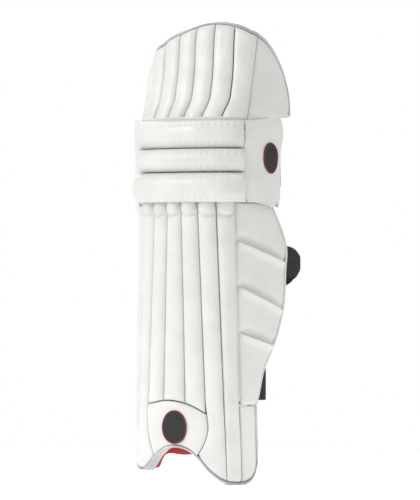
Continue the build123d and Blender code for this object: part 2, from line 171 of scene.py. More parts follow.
def hollow(rim: float, drop: float, sharp: tuple[float, float],
           soft: tuple[float, float] = (0.5, 0.5)) -> Height:
    """A sheet that lies a drop behind its rim and rises to it by an arch along each side."""
    return lambda a, b, *_: rim - drop * arch(a, sharp[0], soft[0]) * arch(b, sharp[1], soft[1])


def strip(left: float, width: float, low: float, tall: float) -> Outline:
    """A plain rectangle of pad space, from its left and lower edge."""
    return lambda a, b: (left + a * width, low + b * tall)


# Shader maths
class Value:
    """A number socket whose operators add Math nodes."""

    def __init__(self, paint: "Paint", socket: bpy.types.NodeSocket) -> None:
        """Keeps the material being painted and the socket."""
        self.paint = paint
        self.socket = socket

    def maths(self, operation: str, *others: "Value | float") -> "Value":
        """One Math node on this value and others.

        Args:
            operation: the Math node's operation.
            others: its further inputs.

        Returns:
            The node's result.
        """
        links = {n: v for n, v in enumerate((self, *others))}
        return self.paint.add("ShaderNodeMath", {"operation": operation}, links)

    def __add__(self, other: "Value | float") -> "Value":
        """Sum."""
        return self.maths("ADD", other)

    def __sub__(self, other: "Value | float") -> "Value":
        """Difference."""
        return self.maths("SUBTRACT", other)

    def __rsub__(self, other: float) -> "Value":
        """Difference, the number first."""
        return (self * -1.0) + other

    def __mul__(self, other: "Value | float") -> "Value":
        """Product."""
        return self.maths("MULTIPLY", other)

    def __truediv__(self, other: "Value | float") -> "Value":
        """Quotient."""
        return self.maths("DIVIDE", other)

    __radd__ = __add__
    __rmul__ = __mul__

    def sine(self) -> "Value":
        """Sine, in radians."""
        return self.maths("SINE")

    def size(self) -> "Value":
        """Value without its sign."""
        return self.maths("ABSOLUTE")

    def over(self, limit: float) -> "Value":
        """1 where the value is over a limit, else 0."""
        return self.maths("GREATER_THAN", limit)

    def ramp(self, low: float, high: float) -> "Value":
        """0 at low, 1 at high, smooth between."""
        settings = {"interpolation_type": "SMOOTHSTEP"}
        return self.paint.add("ShaderNodeMapRange", settings, {0: self, 1: low, 2: high})


class Paint:
    """One material being built round a Principled shader."""

    def __init__(self, name: str) -> None:
        """Starts the material."""
        self.material = bpy.data.materials.new(name)
        self.material.use_nodes = True
        self.tree = self.material.node_tree
        self.shader = self.tree.nodes["Principled BSDF"]

    def add(self, kind: str, settings: dict, inputs: dict, output: int | str = 0) -> Value:
        """Adds a node, sets it, then fills its sockets.

        Args:
            kind: the node's type.
            settings: its properties, set first.
            inputs: socket number or name, with a Value to link or a constant.
            output: which output is wanted.

        Returns:
            The chosen output.
        """
        node = self.tree.nodes.new(kind)
        for key, value in settings.items():
            setattr(node, key, value)
        for key, value in inputs.items():
            self.join(node.inputs[key], value)
        return Value(self, node.outputs[output])

    def join(self, socket: bpy.types.NodeSocket, value: "Value | float | tuple") -> None:
        """Links a Value to a socket, or sets the socket to a constant."""
        if isinstance(value, Value):
            self.tree.links.new(value.socket, socket)
        else:
            socket.default_value = value

    def place(self, source: str = "Object") -> Value:
        """Texture coordinates of one kind."""
        return self.add("ShaderNodeTexCoord", {}, {}, source)

    def axes(self, vector: Value) -> tuple[Value, Value, Value]:
        """The three numbers of a vector."""
        node = self.tree.nodes.new("ShaderNodeSeparateXYZ")
        self.join(node.inputs[0], vector)
        return tuple(Value(self, out) for out in node.outputs)

    def noise(self, vector: Value, scale: float, detail: float = 2.0) -> Value:
        """Cloudy noise of a scale per metre."""
        return self.add("ShaderNodeTexNoise", {}, {"Vector": vector, "Scale": scale, "Detail": detail})

    def cells(self, vector: Value, scale: float) -> Value:
        """Distance to the nearest of scattered points, of a scale per metre."""
        return self.add("ShaderNodeTexVoronoi", {}, {"Vector": vector, "Scale": scale}, "Distance")

    def mix(self, factor: "Value | float", first: "Value | tuple", second: "Value | tuple") -> Value:
        """Colour between two colours."""
        return self.add("ShaderNodeMix", {"data_type": "RGBA"}, {0: factor, 6: first, 7: second}, 2)

    def bump(self, height: Value, strength: float, distance: float) -> None:
        """Feeds a height to the shader's normal."""
        inputs = {"Height": height, "Strength": strength, "Distance": distance}
        self.join(self.shader.inputs["Normal"], self.add("ShaderNodeBump", {}, inputs))

    def set(self, **values: "Value | float | tuple") -> None:
        """Sets or links shader sockets, an underscore standing for a space."""
        for key, value in values.items():
            self.join(self.shader.inputs[key.replace("_", " ")], value)


def colour(red: float, green: float, blue: float) -> tuple[float, float, float, float]:
    """Screen colour of 0..255 steps as the linear colour that a shader takes."""
    steps = (red, green, blue)
    return tuple(((c / 255 + 0.055) / 1.055) ** 2.4 if c > 10 else c / 3294 for c in steps) + (1.0,)


@dataclass(frozen=True)
class Leather:
    """Soft coated leather: fine pebble grain, faint marbling and creases."""

    name: str
    base: tuple
    shade: tuple
    roughness: float = 0.42
    grain: float = 0.25
    coat: float = 0.08
    cloud_scale: float = 22.0
    pebble_scale: float = 950.0
    wrinkle_scale: float = 160.0

    def make(self) -> bpy.types.Material:
        """Builds the material."""
        paint = Paint(self.name)
        where = paint.place()
        cloud = paint.noise(where, self.cloud_scale, 4.0)
        pebble = paint.cells(where, self.pebble_scale)
        wrinkle = paint.noise(where, self.wrinkle_scale, 5.0)
        paint.set(
            Base_Color=paint.mix(cloud.ramp(0.35, 0.75) * 0.55 + pebble * 0.12, self.base, self.shade),
            Roughness=cloud * 0.16 + (self.roughness - 0.08),
            Coat_Weight=self.coat,
            Coat_Roughness=0.35,
        )
        paint.bump(pebble * self.grain + wrinkle * 0.6, 0.35, 0.0006)
        return paint.material


@dataclass(frozen=True)
class SpacerMesh:
    """Knitted spacer mesh: rows of small slanting holes over a darker ground."""

    name: str
    thread: tuple
    hole: tuple
    pitch: float = 0.0031
    slant: tuple[float, float] = (0.62, 0.78)
    fuzz_scale: float = 420.0

    def make(self) -> bpy.types.Material:
        """Builds the material: crossing sine waves on the piece's own map leave round holes."""
        paint = Paint(self.name)
        u, v, _ = paint.axes(paint.place("UV"))
        turn = 2 * math.pi / self.pitch
        along, across = self.slant
        one = ((u * along + v * across) * turn).sine()
        two = ((u * along - v * across) * turn).sine()
        holes = (one * two).ramp(0.05, 0.6)
        fuzz = paint.noise(paint.place(), self.fuzz_scale, 3.0)
        thread = paint.mix(fuzz.ramp(0.3, 0.7) * 0.4, self.thread, self.hole)
        paint.set(
            Base_Color=paint.mix(holes * 0.85, thread, self.hole),
            Roughness=0.7 + holes * 0.2,
            Sheen_Weight=0.05,
        )
        paint.bump(1.0 - holes + fuzz * 0.2, 0.8, 0.0009)
        return paint.material


@dataclass(frozen=True)
class Webbing:
    """Woven strap, striped across its width on the outer face and black on the leg side."""

    name: str
    width: float
    black: tuple
    red: tuple
    grey: tuple
    rib_pitch: float = 0.0016
    thread_pitch: float = 0.0011
    bands: tuple[float, float, float] = (0.50, 0.62, 0.88)

    def make(self) -> bpy.types.Material:
        """Builds the material from the strip's map: u along, v across from its middle."""
        paint = Paint(self.name)
        u, v, _ = paint.axes(paint.place("UV"))
        across = v.size() * (2.0 / self.width)
        outer = paint.add("ShaderNodeAttribute", {"attribute_name": "outer"}, {}, "Fac")
        ribs = (u * (2 * math.pi / self.rib_pitch)).sine()
        threads = (v * (2 * math.pi / self.thread_pitch)).sine()
        weave = ribs * threads
        grey = paint.mix(weave.ramp(-0.4, 0.9) * 0.35, self.grey, self.black)
        edge = grey
        for limit, tone in zip(self.bands, (self.black, self.red, self.black)):
            edge = paint.mix(across.over(limit), edge, tone)
        paint.set(
            Base_Color=paint.mix(outer.over(0.5), self.black, edge),
            Roughness=0.62 + weave * 0.1,
            Sheen_Weight=0.05,
        )
        paint.bump(weave * 0.5 + ribs * 0.3, 0.6, 0.0005)
        return paint.material


@dataclass(frozen=True)
class BarredPatch:
    """Rough black fastening patch with short light bars that step along its free end."""

    name: str
    base: tuple
    bar: tuple
    fluff: tuple = colour(52, 50, 51)
    pitch: float = 0.0048
    start: float = 0.050
    slant: float = 0.45
    reach: float = 0.0195
    fuzz_scale: float = 1400.0

    def make(self) -> bpy.types.Material:
        """Builds the material: bars where a wave across the patch is high, past a slanting line."""
        paint = Paint(self.name)
        u, v, _ = paint.axes(paint.place("UV"))
        fuzz = paint.noise(paint.place(), self.fuzz_scale, 3.0)
        rows = (v * (2 * math.pi / self.pitch)).sine().over(0.1)
        past = (u + v * self.slant).over(self.start)
        inside = v.size().over(self.reach) * -1.0 + 1.0
        light = rows * past * inside
        paint.set(
            Base_Color=paint.mix(light * 0.95, paint.mix(fuzz * 0.5, self.base, self.fluff), self.bar),
            Roughness=0.85 - light * 0.45,
        )
        paint.bump(fuzz, 0.5, 0.0006)
        return paint.material


@dataclass(frozen=True)
class Plain:
    """Moulded plastic, metal-coated binding or floor: one tone with grain and wear."""

    name: str
    base: tuple
    shade: tuple
    roughness: float
    metallic: float = 0.0
    scale: float = 300.0
    depth: float = 0.0003
    coat: float = 0.0
    glow: float = 0.0

    def make(self) -> bpy.types.Material:
        """Builds the material."""
        paint = Paint(self.name)
        where = paint.place()
        cloud = paint.noise(where, self.scale * 0.12, 4.0)
        grain = paint.noise(where, self.scale, 3.0)
        paint.set(
            Base_Color=paint.mix(cloud.ramp(0.3, 0.75) * 0.7 + grain * 0.2, self.base, self.shade),
            Roughness=self.roughness + grain * 0.18 - 0.09,
            Metallic=self.metallic,
            Coat_Weight=self.coat,
            Emission_Color=(1.0, 1.0, 1.0, 1.0),
            Emission_Strength=self.glow,
        )
        paint.bump(grain, 0.4, self.depth)
        return paint.material


BLACK = colour(26, 24, 25)
STRIPE_GREY = colour(132, 133, 140)
FINISHES = {finish.name: finish for finish in (
    Leather("white_leather", colour(224, 223, 220), colour(210, 209, 206)),
    Leather("white_liner", colour(222, 220, 217), colour(206, 203, 200), 0.5, 0.15),
    Leather("red_leather", colour(178, 6, 18), colour(132, 2, 10), 0.42, 0.2, 0.03),
    SpacerMesh("red_mesh", colour(166, 6, 16), colour(60, 0, 4)),
    Webbing("webbing_wide", 0.052, BLACK, colour(164, 20, 28), STRIPE_GREY),
    Webbing("webbing_knee", 0.033, BLACK, colour(150, 18, 24), STRIPE_GREY),
    Webbing("webbing_branch", 0.027, BLACK, colour(156, 18, 26), STRIPE_GREY),
    Plain("webbing_black", BLACK, colour(46, 44, 45), 0.7, scale=900.0, depth=0.0006),
    Plain("binding_red", colour(158, 14, 24), colour(120, 8, 14), 0.6, scale=900.0),
    Plain("seam_red", colour(126, 14, 24), colour(90, 6, 14), 0.6, scale=900.0),
    Plain("silver_piping", colour(204, 205, 208), colour(158, 160, 164), 0.3, 0.5, 120.0, 0.0005, 0.3),
    Plain("ring_black", colour(30, 30, 32), colour(18, 18, 20), 0.4, coat=0.1),
    BarredPatch("patch_black", colour(30, 28, 29), colour(205, 205, 203)),
    Plain("badge_black", colour(22, 20, 21), colour(34, 32, 33), 0.5, scale=1200.0, depth=0.0003),
    Plain("rim_red", colour(120, 20, 34), colour(96, 10, 22), 0.45),
    Plain("backing", colour(214, 211, 203), colour(190, 186, 178), 0.85, scale=900.0, depth=0.0005),
    Plain("cane", colour(205, 176, 124), colour(170, 136, 84), 0.6, scale=200.0),
    Plain("floor", colour(250, 250, 250), colour(247, 247, 247), 0.6, scale=40.0, depth=0.0, glow=0.36),
)}
MATERIALS: dict[str, bpy.types.Material] = {}


def material(name: str) -> bpy.types.Material:
    """The finish of a name, made when first asked for."""
    if name not in MATERIALS:
        MATERIALS[name] = FINISHES[name].make()
    return MATERIALS[name]


# Meshes
class Body(Enum):
    """Bodies of the frame that a piece can ride on."""

    SHIN = "shin"
    KNEE = "knee"
    FLAP = "thigh_flap"
    WING = "wing"
    KNEE_TAIL = "knee_tail"
    CALF_TAIL = "calf_tail"
    ANKLE_TAIL = "ankle_tail"


def signed_volume(points: Array, quads: Array) -> float:
    """Volume inside closed quads, negative when they face inwards."""
    a, b, c, d = (points[quads[:, n]] for n in range(4))
    first = np.einsum("ij,ij->i", a, np.cross(b, c))
    second = np.einsum("ij,ij->i", a, np.cross(c, d))
    return float((first + second).sum() / 6)


def mesh_object(name: str, points: Array, quads: Array, finish: str, uv: Array | None = None,
                outer: Array | None = None) -> bpy.types.Object:
    """Puts points and quads into a new smooth-shaded object that faces outwards.

    Args:
        name: the object's name.
        points: vertex places in metres.
        quads: four vertex numbers a face.
        finish: name of its finish.
        uv: map coordinates in metres, one pair a vertex.
        outer: 1 on a strap's outer face, one value a vertex.

    Returns:
        The object, linked to the scene.
    """
    if signed_volume(points, quads) < 0:
        quads = quads[:, ::-1]
    mesh = bpy.data.meshes.new(name)
    mesh.from_pydata(points.tolist(), [], quads.tolist())
    mesh.polygons.foreach_set("use_smooth", np.ones(len(quads), bool))
    if uv is not None:
        layer = mesh.uv_layers.new(name="map")
        layer.data.foreach_set("uv", uv[quads.ravel()].astype(np.float32).ravel())
    if outer is not None:
        attribute = mesh.attributes.new("outer", "FLOAT", "POINT")
        attribute.data.foreach_set("value", outer.astype(np.float32))
    mesh.materials.append(material(finish))
    mesh.update()
    piece = bpy.data.objects.new(name, mesh)
    bpy.context.scene.collection.objects.link(piece)
    LOG.info("%s: %d faces", name, len(quads))
    return piece


def two_sheets(rows: int, cols: int) -> tuple[Array, Array]:
    """Numbering of two grids that share their border.

    Args:
        rows: points along the first side.
        cols: points along the second side.

    Returns:
        Vertex numbers of the back grid, and the quads of both.
    """
    front = np.arange(rows * cols).reshape(rows, cols)
    back = front.copy()
    back[1:-1, 1:-1] = rows * cols + np.arange((rows - 2) * (cols - 2)).reshape(rows - 2, cols - 2)

    def quads(grid: Array) -> Array:
        """Quads between neighbours of a grid."""
        return np.stack([grid[:-1, :-1], grid[1:, :-1], grid[1:, 1:], grid[:-1, 1:]], -1).reshape(-1, 4)

    return back, np.concatenate([quads(front), quads(back)[:, ::-1]])


def spaced(count: int, crowd: float = 0.5) -> Array:
    """Shares 0..1, crowded towards both ends by a cosine."""
    even = np.linspace(0, 1, count)
    return (1 - crowd) * even + crowd * (0.5 - 0.5 * np.cos(math.pi * even))


@dataclass(frozen=True)
class Crease:
    """Room behind a crease: it opens backwards from its axis, by half the fold each way."""

    height: float
    axis_y: float
    fold: float
    gap: float = 0.5
    softness: float = 0.8

    def rim(self, y: Array, side: float) -> Array:
        """Height in millimetres of the room's edge at a depth in millimetres, below (-1) or above (1)."""
        behind = np.clip(y - self.axis_y, 0, None)
        return self.height + side * (self.gap + behind * math.tan(math.radians(self.fold / 2 + 1)))

    def held(self, points: Array, side: float) -> Array:
        """Heights kept on one side of the room: past its edge they level out smoothly.

        Args:
            points: places in metres.
            side: -1 for pieces below the crease, 1 for pieces above it.

        Returns:
            The new heights in metres.
        """
        edge = self.rim(points[..., 1] / MM, side)
        past = side * (edge - points[..., 2] / MM) / self.softness
        return (edge + side * self.softness * (np.logaddexp(0, past) - past)) * MM


class Section:
    """Maps pad space to the row frame: s in rolls along the front line, z up, out from the front face."""

    def __init__(self, low: "Plan", high: "Plan", low_z: float, high_z: float, under: "Crease | None" = None,
                 over: "Crease | None" = None) -> None:
        """Keeps the corner points of two plans, their heights in metres, and the creases below and above."""
        self.under, self.over = under, over
        self.low, self.high = np.array(low.corners), np.array(high.corners)
        self.low_z, self.high_z = low_z * MM, high_z * MM
        self.count = len(low.widths)

    def line(self, s: Array, z: Array) -> tuple[Array, Array]:
        """Front line and its direction: cubic pieces through the corners, then a straight one.

        Args:
            s: places along the line, in rolls.
            z: heights in metres, which blend the low plan into the high one.

        Returns:
            Plan points in metres, and unit directions towards rising s.
        """
        share = ((z - self.low_z) / (self.high_z - self.low_z))[..., None]
        k = np.clip(np.floor(s).astype(int), 0, self.count)
        corners = [self.low[n] + (self.high[n] - self.low[n]) * share for n in (k, k + 1)]
        unit_low, unit_high = self.slopes(self.low), self.slopes(self.high)
        slopes = [unit_low[n] + (unit_high[n] - unit_low[n]) * share for n in (k, k + 1)]
        u = (s - k)[..., None]
        h = (2 * u**3 - 3 * u**2 + 1, u**3 - 2 * u**2 + u, 3 * u**2 - 2 * u**3, u**3 - u**2)
        place = corners[0] * h[0] + slopes[0] * h[1] + corners[1] * h[2] + slopes[1] * h[3]
        d = (6 * u**2 - 6 * u, 3 * u**2 - 4 * u + 1, 6 * u - 6 * u**2, 3 * u**2 - 2 * u)
        way = corners[0] * d[0] + slopes[0] * d[1] + corners[1] * d[2] + slopes[1] * d[3]
        straight = (s >= self.count)[..., None]
        panel = corners[1] - corners[0]
        place = np.where(straight, corners[0] + panel * u, place)
        way = np.where(straight, panel, way)
        return place, way / np.linalg.norm(way, axis=-1, keepdims=True)

    def slopes(self, corners: Array) -> Array:
        """Slope of the front line at each corner, per roll."""
        steps = np.diff(corners, axis=0)
        steps[-1] *= np.linalg.norm(steps[-2]) / np.linalg.norm(steps[-1])
        inner = (steps[:-1] + steps[1:]) / 2
        return np.concatenate([steps[:1], inner, steps[-1:]])

    def at(self, s: Array, z: Array, out: Array) -> Array:
        """Points of the row frame, in metres, for s in rolls and z and out in metres."""
        s, z, out = np.broadcast_arrays(np.asarray(s, float), z, out)
        place, way = self.line(s, z)
        x = place[..., 0] + way[..., 1] * out
        y = place[..., 1] - way[..., 0] * out
        return np.stack([x, y, z], -1)

    def kept(self, points: Array) -> Array:
        """Points pulled clear of the folding room at both creases."""
        if self.over:
            points[..., 2] = self.over.held(points, -1.0)
        if self.under:
            points[..., 2] = self.under.held(points, 1.0)
        return points

    def share(self, axis: int, target: Array, z: Array, out: float, start: float = 0.0) -> Array:
        """Place s where the surface reaches a plan coordinate, found by halving the range thirty times.

        Args:
            axis: 0 for X, 1 for Y.
            target: the coordinate in millimetres.
            z: the height in millimetres.
            out: the depth in millimetres.
            start: lowest s looked at.

        Returns:
            Places in rolls.
        """
        target, z = np.broadcast_arrays(np.asarray(target, float), np.asarray(z, float))
        low, high = np.full(z.shape, start), np.full(z.shape, 8.9)
        for _ in range(30):
            middle = (low + high) / 2
            over = self.at(middle, z * MM, out * MM)[..., axis] > target * MM
            low, high = np.where(over, low, middle), np.where(over, middle, high)
        return (low + high) / 2

    def pillow(self, name: str, finish: str, outline: Outline, front: Height, back: Height,
               size: tuple[int, int], crowd: tuple[float, float] = (0.8, 0.5),
               loose: bool = False) -> bpy.types.Object:
        """A closed padded piece: a front and a back sheet over one outline, joined at its edge.

        Args:
            name: the piece's name.
            finish: name of its finish.
            outline: from shares a and b to s in rolls and z in millimetres.
            front: height out of the front sheet in millimetres, from a, b, s and z.
            back: the same for the back sheet.
            size: grid points along a and b.
            crowd: how far the grid crowds towards the edges along a and b.
            loose: whether the front sheet may hang over a crease.

        Returns:
            The object.
        """
        a, b = np.meshgrid(spaced(size[0], crowd[0]), spaced(size[1], crowd[1]), indexing="ij")
        s, z = outline(a, b)
        s, z = np.broadcast_to(s, a.shape), np.broadcast_to(z, a.shape)
        near = self.at(s, z * MM, front(a, b, s, z) * MM)
        far = self.at(s, z * MM, back(a, b, s, z) * MM)
        near[[0, -1], :] = (near[[0, -1], :] + far[[0, -1], :]) / 2
        near[:, [0, -1]] = (near[:, [0, -1]] + far[:, [0, -1]]) / 2
        _, quads = two_sheets(*size)
        far = self.kept(far)
        near = near if loose else self.kept(near)
        points = np.concatenate([near.reshape(-1, 3), far[1:-1, 1:-1].reshape(-1, 3)])
        flat = np.stack([s * SHIN_ROLL, z * MM], -1)
        uv = np.concatenate([flat.reshape(-1, 2), flat[1:-1, 1:-1].reshape(-1, 2)])
        return mesh_object(name, points, quads, finish, uv)

    def cord(self, name: str, finish: str, s: Array, z: Array, out: Array, radii: tuple[float, float],
             sides: int = 16, power: float = 1.0) -> bpy.types.Object:
        """A bound edge or seam cord along a line in pad space, oval in section, with rounded ends.

        Args:
            name: the piece's name.
            finish: name of its finish.
            s: the line's places in rolls.
            z: its heights in millimetres.
            out: its depths in millimetres.
            radii: half width along the line's own plane and half depth, in millimetres.
            sides: points round the section.
            power: 1 for an oval section, less for a squarer one.

        Returns:
            The object.
        """
        middle = self.at(s, z * MM, out * MM)
        _, way = self.line(np.asarray(s, float), z * MM)
        normal = np.stack([way[:, 1], -way[:, 0], np.zeros(len(way))], -1)
        return tube(name, finish, middle, normal, radii, sides, power)


def tube(name: str, finish: str, middle: Array, normal: Array, radii: tuple[float, float],
         sides: int = 16, power: float = 1.0, closed: bool = False,
         swell: Array | float = 1.0) -> bpy.types.Object:
    """A tube along points whose section is a rounded box: powers of sine and cosine times two radii.

    Args:
        name: the piece's name.
        finish: name of its finish.
        middle: points of the centre line, in metres.
        normal: direction of the section's second radius at each point.
        radii: radius across and radius along the normal, in millimetres.
        sides: points round the section.
        power: 1 for an oval section, towards 0 for a squarer one.
        closed: whether the line joins its own start.
        swell: share of the radius across at each point.

    Returns:
        The object.
    """
    run = np.gradient(middle, axis=0)
    if closed:
        run = np.roll(middle, -1, axis=0) - np.roll(middle, 1, axis=0)
    run /= np.linalg.norm(run, axis=1, keepdims=True)
    side = np.cross(run, normal)
    side /= np.linalg.norm(side, axis=1, keepdims=True)
    up = np.cross(side, run)
    scale = np.ones(len(middle))
    side = side * np.broadcast_to(swell, (len(middle),))[:, None]
    if not closed:
        middle, side, up = (np.concatenate([v[:1], v, v[-1:]]) for v in (middle, side, up))
        scale = np.concatenate([[0.02, 0.93], np.ones(len(middle) - 4), [0.93, 0.02]])
    turn = np.linspace(0, 2 * math.pi, sides, endpoint=False)
    across = np.sign(np.cos(turn)) * np.abs(np.cos(turn)) ** power * radii[0] * MM
    rise = np.sign(np.sin(turn)) * np.abs(np.sin(turn)) ** power * radii[1] * MM
    ring = side[:, None] * across[None, :, None] + up[:, None] * rise[None, :, None]
    points = middle[:, None] + ring * scale[:, None, None]
    length = np.concatenate([[0], np.cumsum(np.linalg.norm(np.diff(middle, axis=0), axis=1))])
    uv = np.stack(np.broadcast_arrays(length[:, None], across[None, :]), -1).reshape(-1, 2)
    outer = np.broadcast_to(rise > 0, (len(middle), sides)).astype(float).ravel()
    index = np.arange(len(middle) * sides).reshape(len(middle), sides)
    after = np.roll(index, -1, axis=1)
    head, tail = (index, np.roll(index, -1, axis=0)) if closed else (index[:-1], index[1:])
    head_after, tail_after = (after, np.roll(after, -1, axis=0)) if closed else (after[:-1], after[1:])
    quads = np.stack([head, tail, tail_after, head_after], -1).reshape(-1, 4)
    return mesh_object(name, points.reshape(-1, 3), quads, finish, uv, outer)


@dataclass(frozen=True)
class Plan:
    """Front line of the rolls in plan: widths in millimetres and facings in degrees from -Y towards +X."""

    widths: tuple
    facings: tuple
    centre: tuple
    panel_length: float
    panel_facing: float
    middle: int = 3

    @property
    def corners(self) -> list:
        """Corner points in metres, the middle roll's middle at the centre."""
        lengths = np.array(self.widths + (self.panel_length,))
        angles = np.radians(np.array(self.facings + (self.panel_facing,)))
        steps = lengths[:, None] * np.stack([np.cos(angles), np.sin(angles)], -1)
        points = np.concatenate([[[0, 0]], np.cumsum(steps, axis=0)])
        anchor = (points[self.middle] + points[self.middle + 1]) / 2
        return ((points - anchor + np.array(self.centre)) * MM).tolist()


# heights in millimetres: both creases, the levels of the shin's two plans, the tops of the rolls and the flap
KNEE_LINE, FLAP_LINE = 444.0, 564.0
ANKLE_LEVEL, CALF_LEVEL = 127.0, 366.0
ROLL_TOP, FLAP_TOP = 445.5, 725.0
# outer edge of the last roll, in rolls
SEAM = 7.0

CALF_FACINGS = (-58, -40, -29, -20, -10, 5, 30)
ANKLE_FACINGS = (-62, -44, -20, -5, 0, 8, 45)
WING_LENGTH = 104.0
CALF_PLAN = Plan((32,) * 7, CALF_FACINGS, (0.0, -68.7), WING_LENGTH, 60)
ANKLE_PLAN = Plan((30, 31, 32, 38, 34, 32, 30), ANKLE_FACINGS, (0.0, -66.4), WING_LENGTH, 60)
KNEE_PLAN = Plan((34,) * 7, CALF_FACINGS, (5.0, -72.0), 76, 62)
FLAP_PLAN = Plan((34,) * 7, CALF_FACINGS, (8.5, -63.3), 76, 54)
FLAP_LEAN = math.tan(math.radians(20.4))
FLAP_TOP_PLAN = Plan((34,) * 7, CALF_FACINGS, (8.5, -63.3 + (FLAP_TOP - FLAP_LINE) * FLAP_LEAN), 76, 54)
KNEE_CREASE = Crease(KNEE_LINE, -45.0, 20.0)
FLAP_CREASE = Crease(FLAP_LINE, -50.0, 15.0)
SHIN = Section(ANKLE_PLAN, CALF_PLAN, ANKLE_LEVEL, CALF_LEVEL, None, KNEE_CREASE)
KNEE = Section(KNEE_PLAN, KNEE_PLAN, KNEE_LINE, FLAP_LINE, KNEE_CREASE, FLAP_CREASE)
FLAP = Section(FLAP_PLAN, FLAP_TOP_PLAN, FLAP_LINE, FLAP_TOP, FLAP_CREASE, None)
# the same front lines without creases, for the strips that span them
OPEN_SHIN = Section(ANKLE_PLAN, CALF_PLAN, ANKLE_LEVEL, CALF_LEVEL)
OPEN_KNEE = Section(KNEE_PLAN, KNEE_PLAN, KNEE_LINE, FLAP_LINE)


def finish_piece(piece: bpy.types.Object, body: Body, slot: str, *nodes: str,
                 fill: float | None = None) -> None:
    """Rides a piece on its body and hides the CAD nodes that it stands for.

    Args:
        piece: the piece.
        body: the body that it rides on.
        slot: not used.
        nodes: CAD nodes that it replaces.
        fill: not used.
    """
    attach(piece, body.value)
    if nodes:
        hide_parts(*nodes)


def pad(section: Section, name: str, finish: str, sheets: Sheets, size: tuple[int, int],
        crowd: tuple[float, float], body: Body, *nodes: str, fill: float | None = None,
        loose: bool = False) -> None:
    """A pillow of a section on its body, in the place of CAD nodes.

    Args:
        section: where it lies.
        name: the piece's name.
        finish: name of its finish.
        sheets: outline, front height and back height.
        size: grid points along both sides.
        crowd: how far the grid crowds towards the edges.
        body: the body that it rides on.
        nodes: the CAD nodes that it stands for.
        fill: not used.
        loose: whether the front sheet may hang over a crease.
    """
    piece = section.pillow(name, finish, *sheets, size, crowd, loose)
    finish_piece(piece, body, finish, *nodes, fill=fill)


